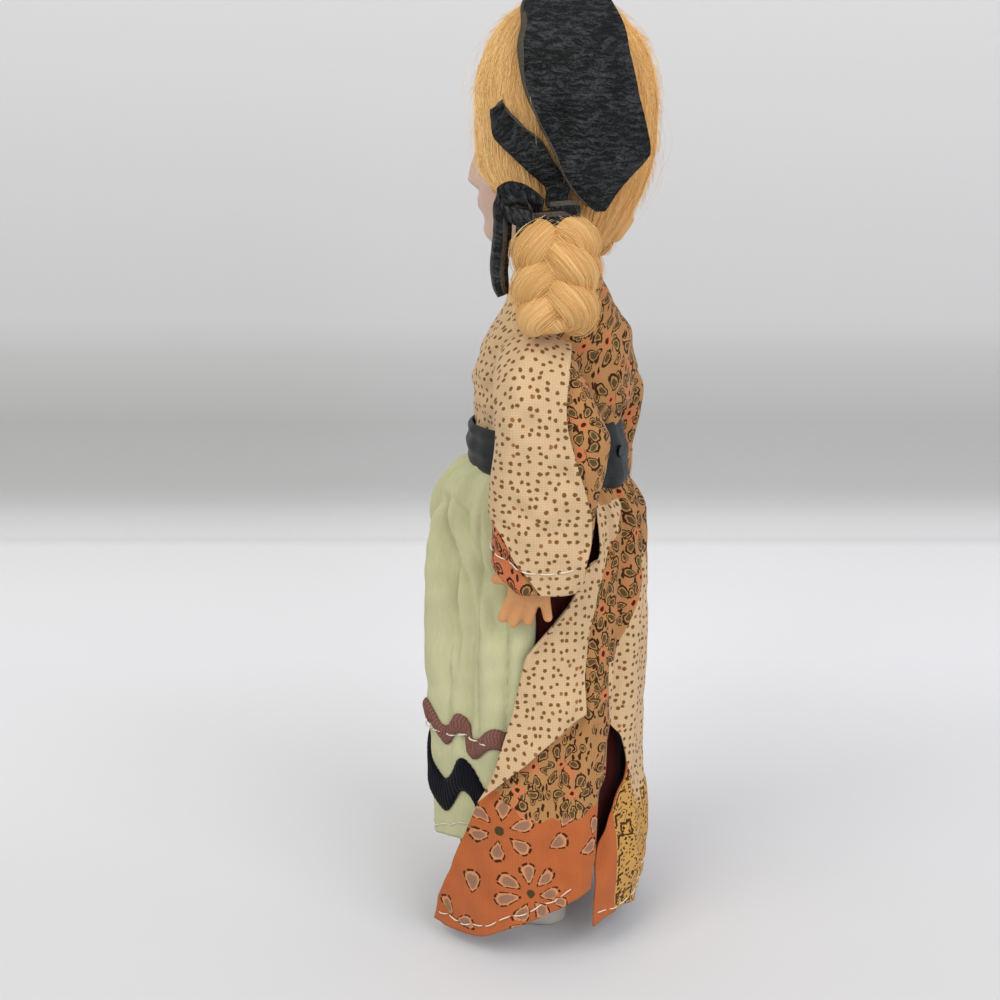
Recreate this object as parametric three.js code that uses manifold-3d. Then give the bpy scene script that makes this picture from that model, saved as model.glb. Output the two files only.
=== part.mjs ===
// A strung hard-plastic costume doll in folk dress, about eight inches tall. Millimetres, +Z up.
// The doll faces -Y, and its own left side is at +X.
import * as THREE from "three";
import { mergeVertices } from "three/addons/utils/BufferGeometryUtils.js";
import Module from "manifold-3d";

const wasm = await Module();
wasm.setup();

// Clearances
const GAP = 0.35; // air between a piece and the next one over it
const SWING_GAP = 0.5; // room beside the belt for the turning sleeves
const BRAID_GAP = 1.5; // room between the sleeve tops and the braids, for the turning head

// Heights of the plastic doll
const SOLE_HEIGHT = 1.4; // thickness of a shoe's sole
const CROTCH_HEIGHT = 80;
const HIP_HEIGHT = CROTCH_HEIGHT + 10;
const WAIST_HEIGHT = HIP_HEIGHT + 15;
const CHEST_HEIGHT = WAIST_HEIGHT + 16;
const SHOULDER_AXIS_HEIGHT = CHEST_HEIGHT + 5;
const SHOULDER_TOP_HEIGHT = SHOULDER_AXIS_HEIGHT + 8;
const CHIN_HEIGHT = SHOULDER_TOP_HEIGHT + 15;
const EYE_HEIGHT = CHIN_HEIGHT + 17.5;
const CROWN_HEIGHT = CHIN_HEIGHT + 46.5;

// The plastic shells
const WALL = 1.6;
const WAIST_SIDE = 11.3; // the plastic waist's half width
const WAIST_FRONT = 12; // from the axis to the belly
const WAIST_BACK = 11.6; // from the axis to the small of the back
const NECK_RADIUS = 5.2;
const NECK_LIP = 1.5; // how far the neck's retaining lip stands out under the neck hole
const NECK_LIP_THICKNESS = 1.5;
const EYE_RADIUS = 4.4;
const EYE_SPACING = 12.6;
const EYE_DEPTH = -8.2; // Y of the eyes' shared axis
const ROCKER_RADIUS = 0.9;
const WEIGHT_RADIUS = 2.6;
const WEIGHT_DROP = 6;

// Arms
const SHOULDER_X = 15.7; // the plane where an arm meets the side of the dressed body
const ARM_BALL_RADIUS = 5.3;
const ARM_AXIS_Y = 1;
const UPPER_ARM_RADIUS = 4.1;
const WRIST_HEIGHT = SHOULDER_AXIS_HEIGHT - 38;
const FINGERTIP_HEIGHT = WRIST_HEIGHT - 13;
const PIN_RADIUS = 0.7; // of the wire pin in each arm
const PIN_HEAD_RADIUS = 2;
const PIN_HEAD_THICKNESS = 1;
const PIN_REACH = 8.4; // from the side of the body to the inner face of the pin's head
const ELASTIC_RADIUS = 1.2;
const ELASTIC_WALL = 0.9; // round the pin's head, at each end of the elastic

// Clothes
const CLOTH = 0.7; // one layer of cotton with its turned edges
const GATHERS = 1.5; // the gathered cloth under the belt
const BELT_THICKNESS = 1;
const BELT_BOTTOM = WAIST_HEIGHT - 2.5;
const BELT_TOP = WAIST_HEIGHT + 10;
const BELT_TILT = 0.8; // how much higher the belt sits at the back than at its middle
const WAISTBAND_TOP = WAIST_HEIGHT + 3;
const BODICE_HEM = WAISTBAND_TOP + 0.6;
const COLLAR_FRONT = SHOULDER_TOP_HEIGHT + 7;
const COLLAR_BACK = SHOULDER_TOP_HEIGHT + 11.5;
const SLEEVE_CAP_RADIUS = 8.5;
const SLEEVE_THICKNESS = 12.6; // from side to side at the cuff
const CUFF_HEIGHT = WRIST_HEIGHT - 3;
const UNDERSKIRT_HEM = 18; // higher than the outer hems, so that nothing shows below them
const OVERSKIRT_HEM = 0.8;
const APRON_HEM = 16;
const MAUVE_TRIM_HEIGHT = 46.5;
const NAVY_TRIM_HEIGHT = 34;
const MAUVE_TRIM_WIDTH = 2.6;
const NAVY_TRIM_WIDTH = 3.6;
const TRIM_PITCH = 7.2;
const TRIM_THICKNESS = 0.7;
const SNAP_RADIUS = 1.3;
const SNAP_THICKNESS = 0.8;

// Hair and hat
const HAIR = 2.6; // the wig's thickness over the head
const FACE_HALF_WIDTH = 11.4; // the face's opening in the wig
const FACE_TOP = CHIN_HEIGHT + 28;
const HAIRLINE_HEIGHT = CHIN_HEIGHT + 12.5;
const NAPE_HEIGHT = CHIN_HEIGHT + 0.5;
const BRAID_LENGTH = 20;
const BRAID_DEPTH = 15.8;
const BRAID_THICKNESS = 9.4;
const BRAID_X = 24.3; // the braid's middle, out from the doll's middle
const BRAID_Y = 5.6;
const RIGHT_BRAID_FORWARD = 7.6; // the right plait lies over the shoulder, further forward than the left
const KNOT_Y = 5.4;
const TIE_THICKNESS = 0.9;
const TIE_WIDTH = 4.6;
const KNOT_SIZE = new THREE.Vector3(4.4, 9.6, 6);
const WING_THICKNESS = 1.2;
const WING_CURVE = 0.02; // how fast a wing bends in, per millimetre from its middle
const HAT_KNOT_WIDTH = 9;
const HAT_KNOT_DEPTH = 15;
const HAT_KNOT_HEIGHT = 8;

// Mesh fineness
const SIDE_COUNT = 16;
const FINE_SIDE_COUNT = 20;
const LEG_SIDE_COUNT = 8;
const HEAD_LEVEL_COUNT = 15;

const FAR = 60; // past the object from its axis, for cutting shapes

const materials = {
  skin: plain(0xd9a478, 0.45),
  face: plain(0xcfae9f, 0.45),
  eye: plain(0x6b5138, 0.2),
  lead: plain(0x6f7072, 0.6, 0.8),
  wire: plain(0x9a9c9e, 0.35, 1),
  elastic: plain(0xded8ca, 0.8),
  shoe: plain(0x1f1d1e, 0.35),
  print: plain(0xc07a4a, 0.95),
  dark: plain(0x2a1417, 0.95),
  sage: plain(0xbcc29a, 0.95),
  mauve: plain(0x73504b, 0.95),
  navy: plain(0x171726, 0.95),
  satin: plain(0x2e3034, 0.5),
  chrome: plain(0xc7c8ca, 0.25, 1),
  hair: plain(0xdcae70, 0.7),
  leatherette: plain(0x26282a, 0.5),
};

function plain(color, roughness, metalness = 0) {
  return new THREE.MeshStandardMaterial({ color, roughness, metalness });
}

// A smooth curve through knots [place, value]: a cubic whose slopes come from the knots beside each one.
function track(knots) {
  const slope = knots.map((knot, i) => {
    const before = knots[Math.max(i - 1, 0)];
    const after = knots[Math.min(i + 1, knots.length - 1)];
    return (after[1] - before[1]) / (after[0] - before[0]);
  });
  return (place) => {
    const at = THREE.MathUtils.clamp(place, knots[0][0], knots[knots.length - 1][0]);
    let i = 0;
    while (i < knots.length - 2 && at > knots[i + 1][0]) i += 1;
    const span = knots[i + 1][0] - knots[i][0];
    const t = (at - knots[i][0]) / span;
    const rest = 1 - t;
    const start = rest * rest * (1 + 2 * t) * knots[i][1] + rest * rest * t * span * slope[i];
    const end = t * t * (1 + 2 * rest) * knots[i + 1][1] - t * t * rest * span * slope[i + 1];
    return start + end;
  };
}

// An upright form's sections: rows of [height, half width, front, back], all measured from the axis.
function profile(rows) {
  return {
    heights: rows.map((row) => row[0]),
    side: track(rows.map((row) => [row[0], row[1]])),
    front: track(rows.map((row) => [row[0], row[2]])),
    back: track(rows.map((row) => [row[0], row[3]])),
  };
}

// The point of a profile grown by a distance, at an angle from the front towards the doll's left.
function around(form, height, angle, grow = 0) {
  const side = form.side(height) + grow;
  const depth = (Math.cos(angle) > 0 ? form.front(height) : form.back(height)) + grow;
  return new THREE.Vector3(side * Math.sin(angle), -depth * Math.cos(angle), height);
}

// A closed geometry from points and triangles, turned so that its faces point out.
function closed(points, triangles) {
  let volume = 0;
  for (const [a, b, c] of triangles) {
    volume += points[a].dot(points[b].clone().cross(points[c]));
  }
  const faces = volume < 0 ? triangles.map(([a, b, c]) => [a, c, b]) : triangles;
  const positions = new Float32Array(points.flatMap((point) => point.toArray()));
  const geometry = new THREE.BufferGeometry();
  geometry.setAttribute("position", new THREE.BufferAttribute(positions, 3));
  geometry.setIndex(faces.flat());
  geometry.computeVertexNormals();
  return geometry;
}

// A solid through rings of points, closed at both ends by a fan.
function loft(rings) {
  const count = rings[0].length;
  const points = rings.flat();
  const triangles = [];
  rings.slice(1).forEach((ring, r) => {
    for (let i = 0; i < count; i += 1) {
      const next = (i + 1) % count;
      const low = r * count;
      triangles.push([low + i, low + next, low + count + next]);
      triangles.push([low + i, low + count + next, low + count + i]);
    }
  });
  const ends = [
    [rings[0], 0, true],
    [rings[rings.length - 1], points.length - count, false],
  ];
  for (const [ring, first, turned] of ends) {
    const middle = ring.reduce((sum, point) => sum.add(point), new THREE.Vector3()).divideScalar(count);
    points.push(middle);
    for (let i = 0; i < count; i += 1) {
      const next = (i + 1) % count;
      const corner = points.length - 1;
      triangles.push(turned ? [first + next, first + i, corner] : [first + i, first + next, corner]);
    }
  }
  return closed(points, triangles);
}

// The heights of a profile's own rows that lie between two limits, with the limits.
function heightsOf(form, bottom, top) {
  return [bottom, ...form.heights.filter((height) => height > bottom && height < top), top];
}

// Heights at even steps from the lowest to the highest.
function evenly(bottom, top, steps) {
  return Array.from({ length: steps + 1 }, (_, i) => THREE.MathUtils.lerp(bottom, top, i / steps));
}

// A solid of a profile, with a section at each height.
function formSolid(form, heights, count, grow = 0, change = null) {
  const rings = heights.map((height) => {
    const ring = [];
    for (let i = 0; i < count; i += 1) {
      const point = around(form, height, (2 * Math.PI * i) / count, grow);
      if (change) change(point);
      ring.push(point);
    }
    return ring;
  });
  return loft(rings);
}

// Turns a share from 0 to 1 into a height, with a share of equal size between each two heights of a list.
function stepped(heights) {
  return (share) => {
    const place = THREE.MathUtils.clamp(share, 0, 1) * (heights.length - 1);
    const low = Math.min(Math.floor(place), heights.length - 2);
    return THREE.MathUtils.lerp(heights[low], heights[low + 1], place - low);
  };
}

// A sheet with thickness: outer(u, v) gives its outer face, and the inner face lies one thickness under it.
function cloth(outer, thickness, across, along, joined = false) {
  const columns = joined ? across : across + 1;
  const outerPoints = [];
  const innerPoints = [];
  const step = 1e-3;
  for (let j = 0; j <= along; j += 1) {
    for (let i = 0; i < columns; i += 1) {
      const u = i / across;
      const v = j / along;
      const left = outer(joined ? u - step : Math.max(u - step, 0), v);
      const right = outer(joined ? u + step : Math.min(u + step, 1), v);
      const low = outer(u, Math.max(v - step, 0));
      const high = outer(u, Math.min(v + step, 1));
      const normal = right.sub(left).cross(high.sub(low)).normalize();
      const point = outer(u, v);
      const depth = typeof thickness === "function" ? thickness(u, v) : thickness;
      outerPoints.push(point);
      innerPoints.push(point.clone().addScaledVector(normal, -depth));
    }
  }
  const points = [...outerPoints, ...innerPoints];
  const inside = outerPoints.length;
  const triangles = [];
  const at = (i, j) => j * columns + (i % columns);
  const quad = (a, b, c, d) => triangles.push([a, b, c], [a, c, d]);
  for (let j = 0; j < along; j += 1) {
    for (let i = 0; i < across; i += 1) {
      quad(at(i, j), at(i + 1, j), at(i + 1, j + 1), at(i, j + 1));
      quad(inside + at(i, j + 1), inside + at(i + 1, j + 1), inside + at(i + 1, j), inside + at(i, j));
    }
  }
  for (let i = 0; i < across; i += 1) {
    quad(at(i + 1, 0), at(i, 0), inside + at(i, 0), inside + at(i + 1, 0));
    quad(at(i, along), at(i + 1, along), inside + at(i + 1, along), inside + at(i, along));
  }
  if (!joined) {
    for (let j = 0; j < along; j += 1) {
      quad(at(0, j), at(0, j + 1), inside + at(0, j + 1), inside + at(0, j));
      quad(at(across, j + 1), at(across, j), inside + at(across, j), inside + at(across, j + 1));
    }
  }
  return closed(points, triangles);
}

function solid(geometry) {
  const bare = geometry.clone();
  bare.deleteAttribute("normal");
  if (bare.getAttribute("uv")) bare.deleteAttribute("uv");
  const merged = mergeVertices(bare, 1e-4);
  const mesh = new wasm.Mesh({
    numProp: 3,
    vertProperties: new Float32Array(merged.attributes.position.array),
    triVerts: new Uint32Array(merged.index.array),
  });
  return new wasm.Manifold(mesh);
}

function geometryOf(manifold) {
  const mesh = manifold.getMesh();
  const geometry = new THREE.BufferGeometry();
  geometry.setAttribute("position", new THREE.BufferAttribute(new Float32Array(mesh.vertProperties), 3));
  geometry.setIndex(new THREE.BufferAttribute(new Uint32Array(mesh.triVerts), 1));
  geometry.computeVertexNormals();
  return geometry;
}

function box(minimum, maximum) {
  const size = new THREE.Vector3().subVectors(maximum, minimum);
  const geometry = new THREE.BoxGeometry(size.x, size.y, size.z);
  return geometry.translate(minimum.x + size.x / 2, minimum.y + size.y / 2, minimum.z + size.z / 2);
}

function upright(radius, bottom, top, x = 0, y = 0, sides = 24) {
  const geometry = new THREE.CylinderGeometry(radius, radius, top - bottom, sides);
  return geometry.rotateX(Math.PI / 2).translate(x, y, (bottom + top) / 2);
}

function ball(radius, x, y, z, sides = 20) {
  return new THREE.SphereGeometry(radius, sides, Math.round(sides * 0.6)).translate(x, y, z);
}

// A round bar along a curve.
function bar(curve, radius, steps, count = 8) {
  const section = new THREE.Shape();
  for (let i = 0; i < count; i += 1) {
    const angle = (2 * Math.PI * i) / count;
    const x = radius * Math.cos(angle);
    const y = radius * Math.sin(angle);
    if (i === 0) section.moveTo(x, y);
    else section.lineTo(x, y);
  }
  section.closePath();
  return new THREE.ExtrudeGeometry(section, { steps, bevelEnabled: false, extrudePath: curve });
}

function mesh(name, geometry, material) {
  const made = new THREE.Mesh(geometry, material);
  made.name = name;
  return made;
}

const sides = [
  { name: "left", sign: 1 },
  { name: "right", sign: -1 },
];

function mirrored(geometry, sign) {
  if (sign > 0) return geometry;
  const turned = geometry.toNonIndexed();
  turned.scale(-1, 1, 1);
  const position = turned.getAttribute("position");
  const points = [];
  const triangles = [];
  for (let i = 0; i < position.count; i += 1) {
    points.push(new THREE.Vector3().fromBufferAttribute(position, i));
    if (i % 3 === 2) triangles.push([i - 2, i, i - 1]);
  }
  return closed(points, triangles);
}

// The plastic body

const torso = profile([
  [CROTCH_HEIGHT, 8.5, 6.4, 7.4],
  [CROTCH_HEIGHT + 4, 12.2, 9.2, 10.2],
  [HIP_HEIGHT, 12.6, 11, 11.4],
  [WAIST_HEIGHT - 6, WAIST_SIDE, WAIST_FRONT - 0.4, WAIST_BACK - 0.2],
  [WAIST_HEIGHT, WAIST_SIDE, WAIST_FRONT, WAIST_BACK],
  [WAIST_HEIGHT + 5, WAIST_SIDE + 0.2, WAIST_FRONT, WAIST_BACK],
  [CHEST_HEIGHT, 13, 12.8, 12],
  [SHOULDER_AXIS_HEIGHT, 13.4, 11.6, 12],
  [SHOULDER_TOP_HEIGHT - 3, 12.6, 9, 11],
  [SHOULDER_TOP_HEIGHT, 8.6, 7, 8.6],
]);

const leg = profile([
  [0, 3.3, 8.6, 4.2],
  [3, 3.4, 8.2, 4.4],
  [6.5, 3.2, 5, 4.2],
  [10, 2.9, 3, 3.4],
  [0.225 * CROTCH_HEIGHT, 3.1, 3, 3.8],
  [0.4 * CROTCH_HEIGHT, 4.4, 3.8, 5.2],
  [0.56 * CROTCH_HEIGHT, 4.2, 4.4, 4.2],
  [0.75 * CROTCH_HEIGHT, 5.2, 5.6, 5.4],
  [CROTCH_HEIGHT + 4, 6, 7.4, 7.6],
]);
const LEG_X = 6.7;
const FOOT_BOTTOM = SOLE_HEIGHT + GAP;

function legSolid(sign, inset) {
  const made = formSolid(leg, heightsOf(leg, FOOT_BOTTOM + inset, CROTCH_HEIGHT + 4), LEG_SIDE_COUNT, -inset);
  return solid(made.translate(sign * LEG_X, 0, 0));
}

function bodySolid(inset) {
  const heights = heightsOf(torso, CROTCH_HEIGHT + inset, SHOULDER_TOP_HEIGHT - inset);
  const trunk = solid(formSolid(torso, heights, SIDE_COUNT, -inset));
  return trunk.add(legSolid(1, inset)).add(legSolid(-1, inset));
}

function bodyShells() {
  const neckHole = solid(upright(NECK_RADIUS + GAP, SHOULDER_TOP_HEIGHT - 3 * WALL, SHOULDER_TOP_HEIGHT + 1));
  const pinHoles = solid(alongShoulders(PIN_RADIUS + GAP, -SHOULDER_X, SHOULDER_X));
  const shell = bodySolid(0).subtract(bodySolid(WALL)).subtract(neckHole).subtract(pinHoles);
  const front = box(new THREE.Vector3(-FAR, -FAR, -1), new THREE.Vector3(FAR, -GAP / 2, CHIN_HEIGHT));
  const back = box(new THREE.Vector3(-FAR, GAP / 2, -1), new THREE.Vector3(FAR, FAR, CHIN_HEIGHT));
  return [
    mesh("body_front_shell", geometryOf(shell.intersect(solid(front))), materials.skin),
    mesh("body_back_shell", geometryOf(shell.intersect(solid(back))), materials.skin),
  ];
}

const SHOE_WALL = 0.9;
const SHOE_TOP = 8;

function shoe({ name, sign }) {
  const outer = formSolid(leg, heightsOf(leg, 0, SHOE_TOP), LEG_SIDE_COUNT, GAP + SHOE_WALL);
  const foot = formSolid(leg, heightsOf(leg, FOOT_BOTTOM - GAP, SHOE_TOP + 3), LEG_SIDE_COUNT, GAP);
  const made = solid(outer).subtract(solid(foot));
  return mesh(name + "_shoe", geometryOf(made).translate(sign * LEG_X, 0, 0), materials.shoe);
}

// A cylinder along X between two places on the shoulders' axis.
function alongShoulders(radius, from, to, count = 14) {
  const geometry = new THREE.CylinderGeometry(radius, radius, to - from, count);
  return geometry.rotateZ(Math.PI / 2).translate((from + to) / 2, ARM_AXIS_Y, SHOULDER_AXIS_HEIGHT);
}

// The rubber cord that pulls the arms to the body. Each end is a cup that turns on the head of an arm's pin.
const PIN_HEAD_X = SHOULDER_X - PIN_REACH;

function armElastic() {
  const cupRadius = PIN_HEAD_RADIUS + GAP + ELASTIC_WALL;
  const cupInner = PIN_HEAD_X - GAP - ELASTIC_WALL;
  const cupOuter = PIN_HEAD_X + PIN_HEAD_THICKNESS + GAP + ELASTIC_WALL;
  let made = solid(alongShoulders(ELASTIC_RADIUS, -PIN_HEAD_X + GAP + ELASTIC_WALL / 2, cupInner + ELASTIC_WALL / 2));
  const cup = solid(alongShoulders(cupRadius, cupInner, cupOuter))
    .subtract(solid(alongShoulders(PIN_HEAD_RADIUS + GAP, PIN_HEAD_X - GAP, cupOuter - ELASTIC_WALL)))
    .subtract(solid(alongShoulders(PIN_RADIUS + GAP, PIN_HEAD_X, cupOuter + 1)));
  made = made.add(cup).add(cup.mirror([1, 0, 0]));
  return mesh("arm_elastic", geometryOf(made), materials.elastic);
}

// Head, with its eyes

const head = profile([
  [CHIN_HEIGHT - 8, NECK_RADIUS, NECK_RADIUS, NECK_RADIUS + 0.4],
  [CHIN_HEIGHT - 4, 5.6, 5.4, 6.6],
  [CHIN_HEIGHT - 1, 8.2, 9, 9.6],
  [CHIN_HEIGHT + 2, 11.2, 12.2, 12.6],
  [CHIN_HEIGHT + 6, 13.8, 12.7, 15],
  [CHIN_HEIGHT + 11, 15.4, 13, 16.8],
  [CHIN_HEIGHT + 17, 16.3, 13.1, 17.8],
  [CHIN_HEIGHT + 23, 16.5, 13.2, 18.3],
  [CHIN_HEIGHT + 31, 16.2, 12.8, 18],
  [CROWN_HEIGHT - 8.5, 13.8, 10.4, 15.6],
  [CROWN_HEIGHT - 3.5, 9.4, 6.6, 11],
  [CROWN_HEIGHT - 1, 5.2, 3.2, 6.4],
  [CROWN_HEIGHT, 1.6, 0.8, 2.4],
]);

// One soft swelling of the face: place, spread to the side, spread up, spread down and height.
const features = [
  { x: 0, z: CHIN_HEIGHT + 13.2, wide: 1.5, up: 4.6, down: 1.5, out: 3.1 },
  { x: 0, z: CHIN_HEIGHT + 8.6, wide: 3, up: 1.5, down: 1.2, out: 1.1 },
  { x: 0, z: CHIN_HEIGHT + 2.6, wide: 3.6, up: 2, down: 2, out: 0.5 },
  { x: EYE_SPACING / 2, z: EYE_HEIGHT, wide: 3.4, up: 2.6, down: 3, out: -1.2 },
  { x: -EYE_SPACING / 2, z: EYE_HEIGHT, wide: 3.4, up: 2.6, down: 3, out: -1.2 },
];

function shapeFace(point) {
  if (point.y > 0) return;
  for (const { x, z, wide, up, down, out } of features) {
    const rise = point.z - z;
    const high = rise / (rise > 0 ? up : down);
    const aside = (point.x - x) / wide;
    point.y -= out * Math.exp(-(high * high + aside * aside) / 2);
  }
}

function headSolid(inset) {
  const bottom = CHIN_HEIGHT - 8;
  const top = CROWN_HEIGHT - inset;
  const skull = inset
    ? formSolid(head, heightsOf(head, bottom, top), SIDE_COUNT, -inset)
    : formSolid(head, evenly(bottom, top, HEAD_LEVEL_COUNT), FINE_SIDE_COUNT, 0, shapeFace);
  const neckBottom = SHOULDER_TOP_HEIGHT - WALL - GAP - NECK_LIP_THICKNESS;
  let made = solid(skull).add(solid(upright(NECK_RADIUS - inset, neckBottom - inset, CHIN_HEIGHT - 7)));
  if (!inset) {
    made = made.add(solid(upright(NECK_RADIUS + NECK_LIP, neckBottom, neckBottom + NECK_LIP_THICKNESS)));
  }
  return made;
}

function headShells() {
  let shell = headSolid(0).subtract(headSolid(WALL));
  for (const { sign } of sides) {
    const socket = ball(EYE_RADIUS + GAP, (sign * EYE_SPACING) / 2, EYE_DEPTH, EYE_HEIGHT, 16);
    shell = shell.subtract(solid(socket));
  }
  const seam = 1.5;
  const top = CROWN_HEIGHT + 1;
  const front = box(new THREE.Vector3(-FAR, -FAR, CHEST_HEIGHT), new THREE.Vector3(FAR, seam - GAP / 2, top));
  const back = box(new THREE.Vector3(-FAR, seam + GAP / 2, CHEST_HEIGHT), new THREE.Vector3(FAR, FAR, top));
  return [
    mesh("head_front_shell", geometryOf(shell.intersect(solid(front))), materials.face),
    mesh("head_back_shell", geometryOf(shell.intersect(solid(back))), materials.face),
  ];
}

function eye({ name, sign }) {
  const made = ball(EYE_RADIUS, (sign * EYE_SPACING) / 2, EYE_DEPTH, EYE_HEIGHT, 12);
  return mesh(name + "_eye", made, materials.eye);
}

function eyeRocker() {
  const half = EYE_SPACING / 2 - EYE_RADIUS - GAP;
  const axle = new THREE.CylinderGeometry(ROCKER_RADIUS, ROCKER_RADIUS, 2 * half, 12);
  axle.rotateZ(Math.PI / 2).translate(0, EYE_DEPTH, EYE_HEIGHT);
  const start = new THREE.Vector3(0, EYE_DEPTH, EYE_HEIGHT);
  const end = new THREE.Vector3(0, EYE_DEPTH + WEIGHT_DROP, EYE_HEIGHT - WEIGHT_DROP);
  const rod = bar(new THREE.LineCurve3(start, end), ROCKER_RADIUS * 0.8, 1);
  const weight = ball(WEIGHT_RADIUS, end.x, end.y, end.z, 10);
  return mesh("eye_rocker", geometryOf(solid(axle).add(solid(rod)).add(solid(weight))), materials.lead);
}

// Arms

// How far out the nth gathered layer of cloth reaches over the plastic waist.
function overWaist(layer) {
  return layer * (GAP + GATHERS);
}

const overSkirts = overWaist(2) + GAP + BELT_THICKNESS;
const SLEEVE_INNER_X = WAIST_SIDE + overSkirts + SWING_GAP;
const ARM_X = SLEEVE_INNER_X + CLOTH + GAP + UPPER_ARM_RADIUS;
const ARM_BALL_X = ARM_X - 1.8;
const armRoute = new THREE.CatmullRomCurve3([
  new THREE.Vector3(ARM_BALL_X + 0.6, ARM_AXIS_Y, SHOULDER_AXIS_HEIGHT),
  new THREE.Vector3(ARM_X, ARM_AXIS_Y + 0.6, WRIST_HEIGHT + 29),
  new THREE.Vector3(ARM_X + 0.2, ARM_AXIS_Y + 0.8, WRIST_HEIGHT + 18),
  new THREE.Vector3(ARM_X + 0.4, ARM_AXIS_Y - 0.8, WRIST_HEIGHT + 9),
  new THREE.Vector3(ARM_X + 0.5, ARM_AXIS_Y - 2.6, WRIST_HEIGHT),
]);
const armRadius = track([
  [0, UPPER_ARM_RADIUS],
  [0.25, UPPER_ARM_RADIUS - 0.1],
  [0.5, 3.5],
  [0.75, 3.2],
  [1, 2.6],
]);

function arm({ name, sign }) {
  const rings = [];
  const steps = 5;
  for (let i = 0; i <= steps; i += 1) {
    const centre = armRoute.getPoint(i / steps);
    const radius = armRadius(i / steps);
    const ring = [];
    for (let k = 0; k < LEG_SIDE_COUNT; k += 1) {
      const angle = (2 * Math.PI * k) / LEG_SIDE_COUNT;
      const across = new THREE.Vector3(Math.cos(angle), Math.sin(angle), 0);
      ring.push(centre.clone().addScaledVector(across, radius));
    }
    rings.push(ring);
  }
  const inner = SHOULDER_X + GAP;
  const shoulder = ball(ARM_BALL_RADIUS, ARM_BALL_X, ARM_AXIS_Y, SHOULDER_AXIS_HEIGHT, 10);
  const trim = box(new THREE.Vector3(inner, -FAR, 0), new THREE.Vector3(FAR, FAR, CROWN_HEIGHT));
  const wrist = armRoute.getPoint(1);
  let made = solid(loft(rings)).add(solid(shoulder)).intersect(solid(trim));
  const palm = new THREE.SphereGeometry(1, 10, 6);
  palm.scale(1.9, 4.6, 5.2).translate(wrist.x, wrist.y - 0.4, wrist.z - 4);
  made = made.add(solid(palm));
  const fingers = [-2.9, -0.7, 1.5, 3.7];
  fingers.forEach((offset, i) => {
    const length = i === fingers.length - 1 ? 3.8 : 4.6;
    const finger = new THREE.SphereGeometry(1, 6, 4);
    finger.scale(1.3, 1.2, length).rotateX((offset - 0.5) * 0.05);
    finger.translate(wrist.x - 0.2, wrist.y - 0.8 + offset, FINGERTIP_HEIGHT + 2 * 4.6 - length);
    made = made.add(solid(finger));
  });
  const thumb = new THREE.SphereGeometry(1, 6, 4);
  thumb.scale(1.3, 1.3, 3.8).rotateX(-0.9).translate(wrist.x - 0.5, wrist.y - 4.4, wrist.z - 4.4);
  made = made.add(solid(thumb));
  return mesh(name + "_arm", mirrored(geometryOf(made), sign), materials.skin);
}

function armPin({ name, sign }) {
  const shank = alongShoulders(PIN_RADIUS, PIN_HEAD_X, SHOULDER_X);
  const head = alongShoulders(PIN_HEAD_RADIUS, PIN_HEAD_X, PIN_HEAD_X + PIN_HEAD_THICKNESS);
  const made = solid(shank).add(solid(head));
  return mesh(name + "_arm_pin", mirrored(geometryOf(made), sign), materials.wire);
}

// Clothes

// The last rows of a skirt's profile, where it is drawn in under the belt.
function waistRows(layer) {
  const grow = overWaist(layer);
  const row = (height) => [height, WAIST_SIDE + grow, WAIST_FRONT + grow, WAIST_BACK + grow];
  return [row(BELT_BOTTOM - BELT_TILT), row(BELT_BOTTOM + 2), row(WAISTBAND_TOP)];
}

// A skirt's sections, from its hem to the belt. Each row starts with its share of the waist's height.
function skirtProfile(rows, layer) {
  const free = rows.map(([share, ...reach]) => [share * WAIST_HEIGHT, ...reach]);
  return profile([...free, ...waistRows(layer)]);
}

const hemShare = (height) => height / WAIST_HEIGHT;
const underskirtForm = skirtProfile(
  [
    [hemShare(UNDERSKIRT_HEM), 22, 20.5, 17.6],
    [0.286, 20.6, 20.6, 17.4],
    [0.476, 18.8, 20.4, 17],
    [0.62, 17.4, 19.6, 17],
    [0.714, 16.4, 18.8, 16.8],
    [0.857, 15.2, 16.8, 15.6],
  ],
  1,
);
const apronForm = skirtProfile(
  [
    [hemShare(APRON_HEM), 22.6, 25.4, 24],
    [0.295, 22, 25.6, 24],
    [0.41, 21.2, 26.2, 22],
    [0.543, 20.2, 26.9, 20],
    [0.62, 19.3, 26.8, 20],
    [0.695, 18.4, 26.2, 20],
    [0.857, 17.2, 24.4, 20],
    [0.914, 16.9, 22.8, 19],
    [0.948, 16.2, 20, 17.4],
  ],
  2,
);
const overskirtForm = skirtProfile(
  [
    [hemShare(OVERSKIRT_HEM), 26.4, 28.2, 20],
    [0.133, 25.8, 28.2, 21],
    [0.229, 25.4, 28.2, 21.2],
    [0.352, 24.6, 28, 19.6],
    [0.476, 22.6, 26, 20],
    [0.62, 20.6, 22, 20.4],
    [0.752, 18.8, 20, 20.2],
    [0.886, 17.4, 18, 19.4],
    [0.933, 16.6, 17, 18.2],
  ],
  2,
);

// Where the overskirt's front edge runs: degrees from the front, at each height.
const overskirtEdge = track([
  [OVERSKIRT_HEM, 29],
  [0.19 * WAIST_HEIGHT, 46],
  [0.333 * WAIST_HEIGHT, 61],
  [0.39 * WAIST_HEIGHT, 68],
  [0.533 * WAIST_HEIGHT, 82],
  [0.638 * WAIST_HEIGHT, 92],
  [0.752 * WAIST_HEIGHT, 110],
  [0.857 * WAIST_HEIGHT, 125],
  [0.933 * WAIST_HEIGHT, 130],
  [WAISTBAND_TOP, 132],
]);
const APRON_EDGE = 74; // degrees from the front to the apron's side edges

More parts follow.
